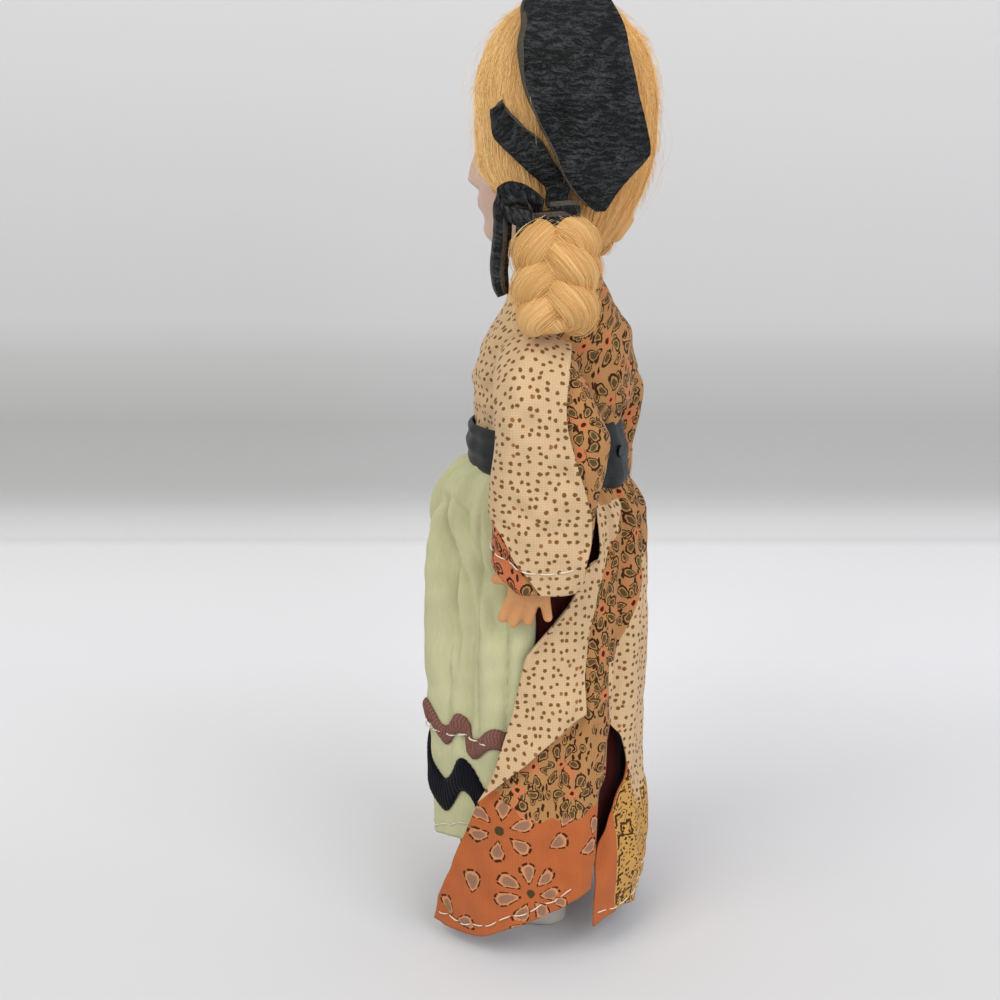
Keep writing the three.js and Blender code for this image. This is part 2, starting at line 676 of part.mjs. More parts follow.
// How far folds push a skirt out at an angle: a few even waves, weaker near the waist.
function folds(angle, height, count, depth) {
  const fall = THREE.MathUtils.smoothstep(WAISTBAND_TOP - height, 4, 40);
  return depth * fall * (0.7 * Math.cos(count * angle) + 0.3 * Math.cos((count + 3) * angle + 1));
}

// Cloth that is thick where it is gathered under the belt.
function gathered(height) {
  const share = THREE.MathUtils.smoothstep(height, BELT_BOTTOM - 3, BELT_BOTTOM + 1);
  return THREE.MathUtils.lerp(CLOTH, GATHERS, share);
}

function skirtPoint(form, angle, height, count, depth) {
  return around(form, height, angle, folds(angle, height, count, depth));
}

function underskirt() {
  const heights = underskirtForm.heights;
  const heightAt = stepped(heights);
  const outer = (u, v) => skirtPoint(underskirtForm, 2 * Math.PI * u, heightAt(v), 8, 0.5);
  const thickness = (u, v) => gathered(heightAt(v));
  return mesh("underskirt", cloth(outer, thickness, 24, heights.length - 1, true), materials.dark);
}

function overskirt() {
  const heights = overskirtForm.heights;
  const heightAt = stepped(heights);
  const outer = (u, v) => {
    const height = heightAt(v);
    const edge = THREE.MathUtils.degToRad(overskirtEdge(height));
    const angle = THREE.MathUtils.lerp(edge, 2 * Math.PI - edge, u);
    return skirtPoint(overskirtForm, angle, height, 12, 0.9);
  };
  const thickness = (u, v) => gathered(heightAt(v));
  return mesh("overskirt", cloth(outer, thickness, 36, heights.length - 1), materials.print);
}

function apronPoint(u, height, lift = 0) {
  const edge = THREE.MathUtils.degToRad(APRON_EDGE);
  const angle = THREE.MathUtils.lerp(-edge, edge, u);
  return around(apronForm, height, angle, lift + folds(angle, height, 10, 0.7));
}

function apron() {
  const heights = apronForm.heights;
  const heightAt = stepped(heights);
  const outer = (u, v) => apronPoint(u, heightAt(v));
  const thickness = (u, v) => gathered(heightAt(v));
  return mesh("apron", cloth(outer, thickness, 20, heights.length - 1), materials.sage);
}

// Zigzag braid sewn round the apron.
function zigzag(name, height, width, material) {
  const length = 46;
  const turns = Math.round(length / TRIM_PITCH);
  const outer = (u, v) => {
    const wave = (Math.acos(Math.cos(2 * Math.PI * turns * u)) / Math.PI - 0.5) * width * 0.8;
    const place = height + wave + (v - 0.5) * width;
    return apronPoint(THREE.MathUtils.lerp(0.12, 0.88, u), place, GAP + TRIM_THICKNESS);
  };
  return mesh(name, cloth(outer, TRIM_THICKNESS, turns * 4, 1), material);
}

const bodiceForm = profile([
  [BODICE_HEM, 13.9, 14.9, 14],
  [WAIST_HEIGHT + 7, 14.4, 15.1, 14.8],
  [WAIST_HEIGHT + 11, 14.8, 15.2, 15.4],
  [CHEST_HEIGHT + 1.5, SHOULDER_X - GAP, 15.6, 18],
  [SHOULDER_AXIS_HEIGHT + 2, SHOULDER_X - GAP, 14, 17.6],
  [SHOULDER_TOP_HEIGHT - 2, 14.8, 12.2, 16.4],
  [SHOULDER_TOP_HEIGHT + 1, 12.4, 10.4, 15],
  [SHOULDER_TOP_HEIGHT + 4.5, 8.8, 8.6, 12.8],
  [COLLAR_FRONT, 7.8, 8, 11.6],
  [COLLAR_BACK, 7.4, 7.6, 10.2],
]);

function bodice() {
  const outer = (u, v) => {
    const angle = 2 * Math.PI * u;
    const top = THREE.MathUtils.lerp(COLLAR_FRONT, COLLAR_BACK, (1 - Math.cos(angle)) / 2);
    return around(bodiceForm, THREE.MathUtils.lerp(BODICE_HEM, top, v), angle);
  };
  let made = solid(cloth(outer, CLOTH, 18, 8, true));
  const armholes = alongShoulders(ARM_BALL_RADIUS + GAP, -SHOULDER_X - 2, SHOULDER_X + 2);
  made = made.subtract(solid(armholes));
  return mesh("bodice", geometryOf(made), materials.print);
}

// The belt's upper edge closes on the blouse.
const beltTop = {
  side: bodiceForm.side(BELT_TOP) + GAP + BELT_THICKNESS + 0.1,
  front: bodiceForm.front(BELT_TOP) + GAP + BELT_THICKNESS + 0.1,
  back: bodiceForm.back(BELT_TOP + 2 * BELT_TILT) + GAP + BELT_THICKNESS + 0.3,
};
const beltForm = profile([
  [BELT_BOTTOM - BELT_TILT, WAIST_SIDE + overSkirts, WAIST_FRONT + overSkirts, WAIST_BACK + overSkirts],
  [WAIST_HEIGHT, WAIST_SIDE + overSkirts, WAIST_FRONT + overSkirts, WAIST_BACK + overSkirts],
  [WAISTBAND_TOP + 2, WAIST_SIDE + overSkirts, WAIST_FRONT + overSkirts, WAIST_BACK + overSkirts],
  [BELT_TOP + BELT_TILT, beltTop.side, beltTop.front, beltTop.back],
]);

function belt() {
  const outer = (u, v) => {
    const angle = 2 * Math.PI * u;
    const tilt = -BELT_TILT * Math.cos(angle);
    const height = THREE.MathUtils.lerp(BELT_BOTTOM, BELT_TOP, v);
    return around(beltForm, height, angle).add(new THREE.Vector3(0, 0, tilt));
  };
  return mesh("belt", cloth(outer, BELT_THICKNESS, 24, 3, true), materials.satin);
}

function beltSnap() {
  const angle = THREE.MathUtils.degToRad(158);
  const height = (BELT_BOTTOM + BELT_TOP) / 2;
  const outward = new THREE.Vector3(Math.sin(angle), -Math.cos(angle), 0);
  const seat = around(beltForm, height, angle, GAP);
  const made = new THREE.CylinderGeometry(SNAP_RADIUS, SNAP_RADIUS, SNAP_THICKNESS, 16);
  const turn = new THREE.Quaternion().setFromUnitVectors(new THREE.Vector3(0, 1, 0), outward);
  made.applyQuaternion(turn);
  const place = seat.addScaledVector(outward, SNAP_THICKNESS / 2);
  return mesh("belt_snap", made.translate(place.x, place.y, place.z), materials.chrome);
}

// A sleeve runs from the armhole, over the shoulder and down to a wide cuff.
const sleeveFront = track([
  [CUFF_HEIGHT, 6.8],
  [CUFF_HEIGHT + 12, 6.6],
  [CUFF_HEIGHT + 21, 6.2],
  [CUFF_HEIGHT + 34, 5],
  [SHOULDER_AXIS_HEIGHT, 7],
]);
const sleeveBack = track([
  [CUFF_HEIGHT, 10.3],
  [CUFF_HEIGHT + 12, 12.6],
  [CUFF_HEIGHT + 19, 13.6],
  [CUFF_HEIGHT + 27, 14.6],
  [SHOULDER_AXIS_HEIGHT, 9],
]);

function sleevePoint(u, v) {
  const angle = 2 * Math.PI * u;
  const bend = Math.min(v / 0.35, 1);
  const fall = Math.max((v - 0.35) / 0.65, 0);
  const roll = (bend * Math.PI) / 2;
  const forward = Math.cos(angle);
  const outward = Math.sin(angle);
  const level = SHOULDER_AXIS_HEIGHT - SLEEVE_CAP_RADIUS + 1;
  const low = THREE.MathUtils.lerp(level, CUFF_HEIGHT, fall) + 3 * fall * fall * Math.max(forward, 0);
  const front = THREE.MathUtils.lerp(SLEEVE_CAP_RADIUS - 0.6, sleeveFront(low), bend);
  const back = THREE.MathUtils.lerp(SLEEVE_CAP_RADIUS - 0.6, sleeveBack(low), bend);
  const depth = forward > 0 ? front : back;
  const reach = (outward + 1) / 2;
  const height = 2 * SLEEVE_CAP_RADIUS - 1;
  const lean = 1.4 * fall;
  const x = SLEEVE_INNER_X + lean + SLEEVE_THICKNESS * reach * Math.sin(roll);
  const underarm = 4 * bend * (1 - fall) * (1 - reach);
  const z = low - underarm + height * reach * Math.cos(roll);
  const drape = fall * 0.5 * Math.sin(3 * angle) * Math.max(outward, 0);
  return new THREE.Vector3(x + drape, ARM_AXIS_Y * (1 - bend) - depth * forward, z);
}

function sleeve({ name, sign }) {
  const outer = (u, v) => sleevePoint(-u, v);
  const made = cloth(outer, CLOTH, SIDE_COUNT, 9, true);
  return mesh(name + "_sleeve", mirrored(made, sign), materials.print);
}

// Wig, braids and their ties

const wigForm = {
  side: (height) => head.side(height - HAIR * crownShare(height)) + HAIR,
  front: (height) => head.front(height - HAIR * crownShare(height)) + HAIR - 1,
  back: (height) => head.back(height - HAIR * crownShare(height)) + HAIR + 0.6,
};

// One at the crown and none below the temples, so that the hair keeps its thickness over the top.
function crownShare(height) {
  return THREE.MathUtils.smoothstep(height, EYE_HEIGHT, CROWN_HEIGHT);
}

function wig() {
  const top = CROWN_HEIGHT + HAIR;
  const outer = solid(formSolid(wigForm, evenly(NAPE_HEIGHT - 4, top, 12), FINE_SIDE_COUNT));
  const levels = evenly(CHIN_HEIGHT - 8, CROWN_HEIGHT + GAP, HEAD_LEVEL_COUNT);
  const inner = solid(formSolid(head, levels, FINE_SIDE_COUNT, GAP));
  const edge = new THREE.Shape();
  edge.moveTo(-FAR, HAIRLINE_HEIGHT);
  edge.lineTo(-5, HAIRLINE_HEIGHT);
  edge.lineTo(3, HAIRLINE_HEIGHT - 4);
  edge.lineTo(10, NAPE_HEIGHT);
  edge.lineTo(FAR, NAPE_HEIGHT);
  edge.lineTo(FAR, CHEST_HEIGHT);
  edge.lineTo(-FAR, CHEST_HEIGHT);
  edge.closePath();
  const below = new THREE.ExtrudeGeometry(edge, { depth: 2 * FAR, bevelEnabled: false });
  below.rotateX(Math.PI / 2).rotateZ(Math.PI / 2).translate(FAR, 0, 0);
  const face = new THREE.CylinderGeometry(1, 1, FAR, 28);
  const faceMiddle = HAIRLINE_HEIGHT - 4;
  face.scale(FACE_HALF_WIDTH, 1, FACE_TOP - faceMiddle).translate(0, -FAR / 2 - 1, faceMiddle);
  const made = outer.subtract(inner).subtract(solid(below)).subtract(solid(face));
  return mesh("wig", geometryOf(made), materials.hair);
}

const BRAID_BOTTOM = SHOULDER_AXIS_HEIGHT + SLEEVE_CAP_RADIUS + BRAID_GAP;
const KNOT_HEIGHT = BRAID_BOTTOM + BRAID_LENGTH + GAP + KNOT_SIZE.z / 2;

// How far to the side the wig reaches at a place along Y and at a height.
function wigReach(y, height) {
  const depth = y < 0 ? wigForm.front(height) : wigForm.back(height);
  const share = Math.min(Math.abs(y) / depth, 1);
  return wigForm.side(height) * Math.sqrt(1 - share * share);
}

const KNOT_PLACE = new THREE.Vector3(wigReach(0, KNOT_HEIGHT) + GAP + KNOT_SIZE.x / 2, KNOT_Y, KNOT_HEIGHT);

// How far forward a plait hangs at a share of its length up from its end.
function braidForward(sign, share) {
  return sign < 0 ? RIGHT_BRAID_FORWARD * (1 - THREE.MathUtils.smoothstep(share, 0.5, 1)) : 0;
}

function braid({ name, sign }) {
  const rings = [];
  const levels = 10;
  for (let i = 0; i <= levels; i += 1) {
    const t = i / levels;
    const full = Math.sin(Math.PI * (0.04 + 0.92 * t)) ** 0.55;
    const lobe = 1 + 0.08 * Math.cos(6 * Math.PI * t);
    const middle = THREE.MathUtils.lerp(BRAID_X, KNOT_PLACE.x, THREE.MathUtils.smoothstep(t, 0.55, 1));
    const ring = [];
    for (let k = 0; k < 14; k += 1) {
      const angle = (2 * Math.PI * k) / 14;
      const x = middle + (BRAID_THICKNESS / 2) * full * Math.cos(angle);
      const y = BRAID_Y - braidForward(sign, t) + (BRAID_DEPTH / 2) * full * lobe * Math.sin(angle);
      ring.push(new THREE.Vector3(x, y, BRAID_BOTTOM + BRAID_LENGTH * t));
    }
    rings.push(ring);
  }
  return mesh(name + "_braid", mirrored(loft(rings), sign), materials.hair);
}

function tieKnot({ name, sign }) {
  const made = new THREE.SphereGeometry(1, 12, 8);
  made.scale(KNOT_SIZE.x / 2, KNOT_SIZE.y / 2, KNOT_SIZE.z / 2);
  made.translate(KNOT_PLACE.x, KNOT_PLACE.y, KNOT_PLACE.z);
  return mesh(name + "_tie_knot", mirrored(made, sign), materials.leatherette);
}

// A strip along a route, flat towards the side of the head.
function strip(route, width, thickness, steps) {
  const curve = new THREE.CatmullRomCurve3(route);
  const outer = (u, v) => {
    const place = curve.getPoint(v);
    const ahead = curve.getTangent(v);
    const across = new THREE.Vector3(0, ahead.z, -ahead.y).normalize();
    const ends = 0.6 + 0.4 * Math.sin(Math.PI * Math.min(v + 0.25, 1));
    return place.addScaledVector(across, (u - 0.5) * width * ends);
  };
  return cloth(outer, thickness, 3, steps);
}

// A point beside the wig, offset from the knot along Y and Z.
function besideWig(forward, up) {
  const y = KNOT_PLACE.y - forward;
  const z = KNOT_PLACE.z + up;
  return new THREE.Vector3(wigReach(y + TIE_WIDTH / 2, z) + GAP + TIE_THICKNESS + 0.1, y, z);
}

function tieUpperTail({ name, sign }) {
  const root = KNOT_SIZE.y / 2 + GAP + 0.6;
  const route = [besideWig(root, 1.6), besideWig(8, 6.4), besideWig(11, 12), besideWig(12, 17.4)];
  const made = mirrored(strip(route, TIE_WIDTH, TIE_THICKNESS, 8), sign);
  return mesh(name + "_tie_upper_tail", made, materials.leatherette);
}

function tieLowerTail({ name, sign }) {
  const x = KNOT_PLACE.x + TIE_THICKNESS;
  const y = KNOT_PLACE.y - KNOT_SIZE.y / 2 - GAP;
  const forward = sign < 0 ? RIGHT_BRAID_FORWARD : 0;
  const route = [
    new THREE.Vector3(x, y - 0.9, KNOT_PLACE.z - 0.3),
    new THREE.Vector3(x + 1.4, y - 4.2 - forward * 0.5, KNOT_PLACE.z - 3.4),
    new THREE.Vector3(x + 1.8, y - 5.6 - forward, KNOT_PLACE.z - 9),
    new THREE.Vector3(x + 1.4, y - 4.9 - forward, KNOT_PLACE.z - 16),
  ];
  const made = mirrored(strip(route, TIE_WIDTH - 1.2, TIE_THICKNESS, 8), sign);
  return mesh(name + "_tie_lower_tail", made, materials.leatherette);
}

const wigSide = head.side(CHIN_HEIGHT + 23) + HAIR;

// Hat: a stiff bow of leatherette whose two wings fall over the sides of the head

const WING_MIDDLE_Y = 4;
const HAT_KNOT_BOTTOM = CROWN_HEIGHT + HAIR + GAP;

const WING_ROOT_HEIGHT = HAT_KNOT_BOTTOM + HAT_KNOT_HEIGHT / 2;
const WING_TIP_HEIGHT = CHIN_HEIGHT + 9.5;
const WING_LENGTH = WING_ROOT_HEIGHT - WING_TIP_HEIGHT;

// The wing's two edges as places along Y, by the share of its length up from its tip.
const wingFrontEdge = track([
  [0, 12.6],
  [0.071, 9.4],
  [0.271, 4.7],
  [0.448, 0.1],
  [0.562, -1.4],
  [0.701, -2.4],
  [0.853, -2],
  [1, 1],
]);
const wingBackEdge = track([
  [0, 14.6],
  [0.071, 16.4],
  [0.225, 21.7],
  [0.323, 21.5],
  [0.496, 19.9],
  [0.767, 16.7],
  [0.862, 14.1],
  [1, 9],
]);
// The right wing is creased further forward behind, and stays inside the hair's outline.
const rightWingBackEdge = track([
  [0, 14.6],
  [0.071, 15.6],
  [0.225, 17.6],
  [0.4, 17.6],
  [0.55, 15.6],
  [0.7, 12.2],
  [0.862, 9.6],
  [1, 8],
]);
const wingSide = track([
  [0, wigSide + WING_THICKNESS + 0.4],
  [0.307, wigSide + WING_THICKNESS + 0.7],
  [0.557, wigSide + WING_THICKNESS + 0.5],
  [0.671, wigSide + WING_THICKNESS - 0.6],
  [0.785, wigSide + WING_THICKNESS - 3.4],
  [0.887, wigSide + WING_THICKNESS - 8],
  [1, HAT_KNOT_WIDTH / 2 + GAP + WING_THICKNESS],
]);

function wing({ name, sign }) {
  const backEdge = sign < 0 ? rightWingBackEdge : wingBackEdge;
  const outer = (u, v) => {
    const share = 1 - v;
    const y = THREE.MathUtils.lerp(wingFrontEdge(share), backEdge(share), u);
    const flat = THREE.MathUtils.smoothstep(WING_LENGTH * v, 0, 14);
    const bend = WING_CURVE * flat * (y - WING_MIDDLE_Y) ** 2;
    return new THREE.Vector3(wingSide(share) - bend, y, WING_TIP_HEIGHT + WING_LENGTH * share);
  };
  const made = mirrored(cloth(outer, -WING_THICKNESS, 7, 11), sign);
  return mesh("hat_" + name + "_wing", made, materials.leatherette);
}

function hatKnot() {
  const made = new THREE.CapsuleGeometry(1, 1.2, 3, 12);
  made.scale(HAT_KNOT_WIDTH / 2, HAT_KNOT_DEPTH / 3.2, HAT_KNOT_HEIGHT / 2);
  made.translate(0, WING_MIDDLE_Y + 1, HAT_KNOT_BOTTOM + HAT_KNOT_HEIGHT / 2);
  return mesh("hat_knot", made, materials.leatherette);
}

const doll = new THREE.Group();
doll.add(...bodyShells(), ...sides.map(shoe), armElastic());
doll.add(...headShells(), ...sides.map(eye), eyeRocker());
doll.add(...sides.map(arm), ...sides.map(armPin), ...sides.map(sleeve));
doll.add(underskirt(), overskirt(), apron(), bodice(), belt(), beltSnap());
doll.add(zigzag("apron_mauve_trim", MAUVE_TRIM_HEIGHT, MAUVE_TRIM_WIDTH, materials.mauve));
doll.add(zigzag("apron_navy_trim", NAVY_TRIM_HEIGHT, NAVY_TRIM_WIDTH, materials.navy));
doll.add(wig(), ...sides.map(braid));
doll.add(...sides.map(tieKnot), ...sides.map(tieUpperTail), ...sides.map(tieLowerTail));
doll.add(...sides.map(wing), hatKnot());

// The origin is the middle of the standing doll's box, on the floor.
const bounds = new THREE.Box3().setFromObject(doll);
const middle = bounds.getCenter(new THREE.Vector3());
doll.position.set(-middle.x, -middle.y, -bounds.min.z);

export default doll;
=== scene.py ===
"""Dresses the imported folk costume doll: cotton prints, satin, leatherette, combed hair and painted plastic.

Shapes are worked out in millimetres on the doll's own axis, with -Y its front and +X its own left side.
place() takes them to the frame's metres.
"""

import logging
import math
from contextlib import contextmanager
from dataclasses import dataclass, field
from enum import Enum, IntEnum
from typing import Callable, Iterator, Sequence, Union

import bmesh
import bpy
import numpy as np
from mathutils import Euler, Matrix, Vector
from numpy.typing import NDArray


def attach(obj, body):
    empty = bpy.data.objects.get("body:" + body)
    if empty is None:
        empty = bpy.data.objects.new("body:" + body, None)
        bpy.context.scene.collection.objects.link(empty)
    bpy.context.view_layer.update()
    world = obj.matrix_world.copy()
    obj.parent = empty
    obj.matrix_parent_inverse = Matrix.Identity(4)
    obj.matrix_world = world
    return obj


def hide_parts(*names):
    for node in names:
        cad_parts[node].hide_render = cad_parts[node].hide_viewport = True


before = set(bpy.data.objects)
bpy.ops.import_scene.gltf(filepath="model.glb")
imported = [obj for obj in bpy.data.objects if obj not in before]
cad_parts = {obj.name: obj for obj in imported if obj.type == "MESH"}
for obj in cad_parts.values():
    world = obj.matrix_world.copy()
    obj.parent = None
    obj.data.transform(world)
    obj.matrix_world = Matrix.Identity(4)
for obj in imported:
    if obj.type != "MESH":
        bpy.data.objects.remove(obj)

Array = NDArray[np.float64]
Values = Array | float
Curve = Callable[[Values], Array]
Knots = Sequence[tuple[float, float]]
Material, Piece = bpy.types.Material, bpy.types.Object

log = logging.getLogger("doll")

AXIS_SHIFT = 3.059  # mm from the middle of the model's box back to the doll's own axis


class Side(Enum):
    """One side of the doll, as seen by the doll."""

    LEFT = 1
    RIGHT = -1

    @property
    def word(self) -> str:
        """The side's name in lower case."""
        return self.name.lower()


# Numbers and curves


def linear(colour: str) -> tuple[float, float, float, float]:
    """Turns an sRGB hex value into linear red, green, blue and alpha.

    Args:
        colour: six hex digits, with or without a hash sign.

    Returns:
        Each channel c as c / 12.92 up to 0.04045, and ((c + 0.055) / 1.055) to the power 2.4 above it.
    """
    digits = colour.lstrip("#")
    channels = [int(digits[i : i + 2], 16) / 255 for i in (0, 2, 4)]
    straight = [c / 12.92 if c <= 0.04045 else ((c + 0.055) / 1.055) ** 2.4 for c in channels]
    return (straight[0], straight[1], straight[2], 1.0)


def smooth(low: float, high: float, value: Values) -> Array:
    """A soft step from 0 at low to 1 at high: with t the clamped share of the way, 3 t squared less 2 t cubed."""
    t = np.clip((np.asarray(value, float) - low) / (high - low), 0, 1)
    return t * t * (3 - 2 * t)


def track(knots: Knots) -> Curve:
    """A smooth curve through knots.

    Args:
        knots: (place, value) pairs in rising order of place.

    Returns:
        A function of place: between two knots, the cubic that has their values, and at each knot the
        slope between its two neighbours. Outside the knots it keeps the end values.
    """
    x, y = (np.array([knot[k] for knot in knots], float) for k in (0, 1))
    ahead = np.minimum(np.arange(len(x)) + 1, len(x) - 1)
    behind = np.maximum(np.arange(len(x)) - 1, 0)
    slope = (y[ahead] - y[behind]) / (x[ahead] - x[behind])

    def curve(place: Values) -> Array:
        """The curve's value at a place."""
        at = np.clip(np.asarray(place, float), x[0], x[-1])
        i = np.clip(np.searchsorted(x, at, side="right") - 1, 0, len(x) - 2)
        span = x[i + 1] - x[i]
        t = (at - x[i]) / span
        rest = 1 - t
        start = rest**2 * (1 + 2 * t) * y[i] + rest**2 * t * span * slope[i]
        end = t**2 * (1 + 2 * rest) * y[i + 1] - t**2 * rest * span * slope[i + 1]
        return start + end

    return curve


def waves(seed: int, count: int, longest: float, shortest: float) -> Callable[[Array, Array], Array]:
    """A gentle uneven relief made of plane waves.

    Args:
        seed: fixes the waves, so that each run gives the same relief.
        count: how many waves are summed.
        longest: the longest wave, in the unit of the two coordinates.
        shortest: the shortest wave.

    Returns:
        A function of two coordinates: the sum over the waves of sin(k . (a, b) + phase), divided by the
        square root of their number.
    """
    rng = np.random.default_rng(seed)
    length = np.exp(rng.uniform(math.log(shortest), math.log(longest), count))
    turn = rng.uniform(0, 2 * np.pi, count)
    phase = rng.uniform(0, 2 * np.pi, count)
    kx, ky = 2 * np.pi * np.cos(turn) / length, 2 * np.pi * np.sin(turn) / length

    def relief(a: Array, b: Array) -> Array:
        """The waves' sum at a place."""
        a, b = np.broadcast_arrays(np.asarray(a, float), np.asarray(b, float))
        return np.sin(a[..., None] * kx + b[..., None] * ky + phase).sum(-1) / math.sqrt(count)

    return relief


@dataclass(frozen=True)
class Form:
    """An upright form given by its sections.

    Attributes:
        rows: (height, half width, reach to the front, reach to the back), in mm, from the lowest up.
    """

    rows: tuple[tuple[float, float, float, float], ...]

    def reach(self, column: int, height: Values) -> Array:
        """The smooth curve through one column of the rows, at a height."""
        return track([(row[0], row[column]) for row in self.rows])(height)

    def at(self, angle: Array, height: Array, grow: Values = 0.0) -> Array:
        """Points of the form, grown by a distance.

        Args:
            angle: radians from the front towards the doll's left.
            height: mm above the floor.
            grow: mm outwards.

        Returns:
            (half width times sin, minus depth times cos, height), where depth is the front's reach
            ahead of the axis and the back's reach behind it. The last axis holds x, y and z.
        """
        angle, height, grow = np.broadcast_arrays(*(np.asarray(v, float) for v in (angle, height, grow)))
        side = self.reach(1, height) + grow
        depth = np.where(np.cos(angle) > 0, self.reach(2, height), self.reach(3, height)) + grow
        return np.stack([side * np.sin(angle), -depth * np.cos(angle), height], -1)


def place(points: Array) -> Array:
    """Takes points from mm on the doll's axis to metres in the frame."""
    return (points + np.array([0, AXIS_SHIFT, 0])) / 1000


def mirror(points: Array, side: Side) -> Array:
    """Points of the doll's left side, turned to the given side by the sign of x."""
    return points * np.array([side.value, 1, 1])


# Meshes


@dataclass
class Skin:
    """Faces and corner maps of one grid of points.

    Attributes:
        points: rows by columns by 3, in mm.
        maps: the name of each UV map, with rows by columns by 2 values, one column more if wrapped.
        wrapped: whether the last column joins the first.
        slots: the material slot of each face, rows less one by columns (less one if not wrapped).
    """

    points: Array
    maps: dict[str, Array] = field(default_factory=dict)
    wrapped: bool = False
    slots: NDArray[np.int64] | None = None

    def faces(self, first: int) -> NDArray[np.int64]:
        """Quads of the grid as indices from first on, turned so that columns by rows points outwards."""
        rows, columns = self.points.shape[:2]
        index = first + np.arange(rows * columns).reshape(rows, columns)
        near = index if self.wrapped else index[:, :-1]
        far = np.roll(index, -1, axis=1) if self.wrapped else index[:, 1:]
        return np.stack([near[:-1], far[:-1], far[1:], near[1:]], -1).reshape(-1, 4)

    def corners(self, name: str) -> Array:
        """The values of one UV map at the four corners of each quad, which a map with one axis more has already."""
        values = self.maps[name]
        return (values if values.ndim == 4 else at_corners(values)).reshape(-1, 2)


def at_corners(values: Array) -> Array:
    """The values of a grid at the four corners of each of its quads."""
    return np.stack([values[:-1, :-1], values[:-1, 1:], values[1:, 1:], values[1:, :-1]], 2)


def build(
    name: str,
    skins: Sequence[Skin],
    materials: Sequence[Material],
    flipped: bool = False,
    merged: bool = False,
    shades: Sequence[Array] = (),
) -> Piece:
    """Makes one object from grids.

    Args:
        name: the piece's name.
        skins: the grids, in mm on the doll's axis.
        materials: the object's material slots.
        flipped: turns every face round, as a mirrored piece needs.
        merged: joins points that coincide, such as a pole's.
        shades: for each grid, one value a point, kept as the attribute "shade".

    Returns:
        The object, smooth shaded, at the origin with its place in its mesh.
    """
    points, quads, slots, start = [], [], [], 0
    for skin in skins:
        quads.append(skin.faces(start))
        points.append(skin.points.reshape(-1, 3))
        slots.append(np.zeros(len(quads[-1]), int) if skin.slots is None else skin.slots.reshape(-1))
        start += len(points[-1])
    every = place(np.concatenate(points))
    faces = np.concatenate(quads)
    mesh = bpy.data.meshes.new(name)
    mesh.vertices.add(len(every))
    mesh.vertices.foreach_set("co", every.astype(np.float32).ravel())
    mesh.loops.add(faces.size)
    mesh.loops.foreach_set("vertex_index", (faces[:, ::-1] if flipped else faces).astype(np.int32).ravel())
    mesh.polygons.add(len(faces))
    mesh.polygons.foreach_set("loop_start", np.arange(0, faces.size, 4, dtype=np.int32))
    mesh.polygons.foreach_set("material_index", np.concatenate(slots).astype(np.int32))
    mesh.polygons.foreach_set("use_smooth", np.ones(len(faces), bool))
    mesh.update(calc_edges=True)
    for label in skins[0].maps:
        values = np.concatenate([skin.corners(label) for skin in skins]).reshape(-1, 4, 2)
        layer = mesh.uv_layers.new(name=label)
        layer.uv.foreach_set("vector", (values[:, ::-1] if flipped else values).astype(np.float32).ravel())
    if len(shades):
        layer = mesh.attributes.new("shade", "FLOAT", "POINT")
        layer.data.foreach_set("value", np.concatenate([s.ravel() for s in shades]).astype(np.float32))
    made = bpy.data.objects.new(name, mesh)
    bpy.context.scene.collection.objects.link(made)
    for material in materials:
        mesh.materials.append(material)
    if merged:
        weld(made)
    return made


@contextmanager
def edited(piece: Piece) -> Iterator[bmesh.types.BMesh]:
    """The piece's mesh open for edits, which are written back at the end."""
    work = bmesh.new()
    work.from_mesh(piece.data)
    yield work
    work.to_mesh(piece.data)
    work.free()


def weld(piece: Piece, distance: float = 1e-6) -> None:
    """Joins the piece's points that lie within a distance in metres."""
    with edited(piece) as work:
        bmesh.ops.remove_doubles(work, verts=work.verts, dist=distance)
        bmesh.ops.dissolve_degenerate(work, edges=work.edges, dist=distance / 10)


def tubes(paths: Array, radius: Array, count: int, up: Array) -> list[Skin]:
    """Round tubes along many paths at once.

    Args:
        paths: tubes by steps by 3, in mm.
        radius: tubes by steps, in mm. A radius of 0 at an end closes it.
        count: sides of each tube.
        up: a direction that no path runs along, one for all or one a tube.

    Returns:
        One grid a tube. At each step the section is centre + radius (cos a . across + sin a . high),
        with across = tangent x up and high = across x tangent, all of length one.
    """
    ahead = np.gradient(paths, axis=1)
    ahead /= np.maximum(np.linalg.norm(ahead, axis=-1, keepdims=True), 1e-9)
    up = np.broadcast_to(np.asarray(up, float), ahead.shape) if np.ndim(up) == 1 else up[:, None, :]
    across = np.cross(ahead, up)
    across /= np.maximum(np.linalg.norm(across, axis=-1, keepdims=True), 1e-9)
    high = np.cross(across, ahead)
    turn = -2 * np.pi * np.arange(count) / count
    ring = across[:, :, None] * np.cos(turn)[:, None] + high[:, :, None] * np.sin(turn)[:, None]
    points = paths[:, :, None] + ring * radius[:, :, None, None]
    length = np.cumsum(np.linalg.norm(np.diff(paths, axis=1, prepend=paths[:, :1]), axis=-1), axis=1)
    share = np.broadcast_to(np.arange(count + 1) / count, (*length.shape, count + 1))
    along = np.broadcast_to(length[:, :, None], share.shape)
    maps = np.stack([share, along], -1)
    return [Skin(points[k], {"run": maps[k]}, wrapped=True) for k in range(len(paths))]


def thicken(piece: Piece, thickness: float, offset: float = -1.0, rim: int = 0) -> None:
    """Gives a sheet its wall in mm. Offset -1 keeps the outer face, and rim counts slots on to the cut edge's."""
    wall = piece.modifiers.new("wall", "SOLIDIFY")
    wall.thickness = thickness / 1000
    wall.offset = offset
    wall.material_offset_rim = rim
    wall.use_even_offset = False


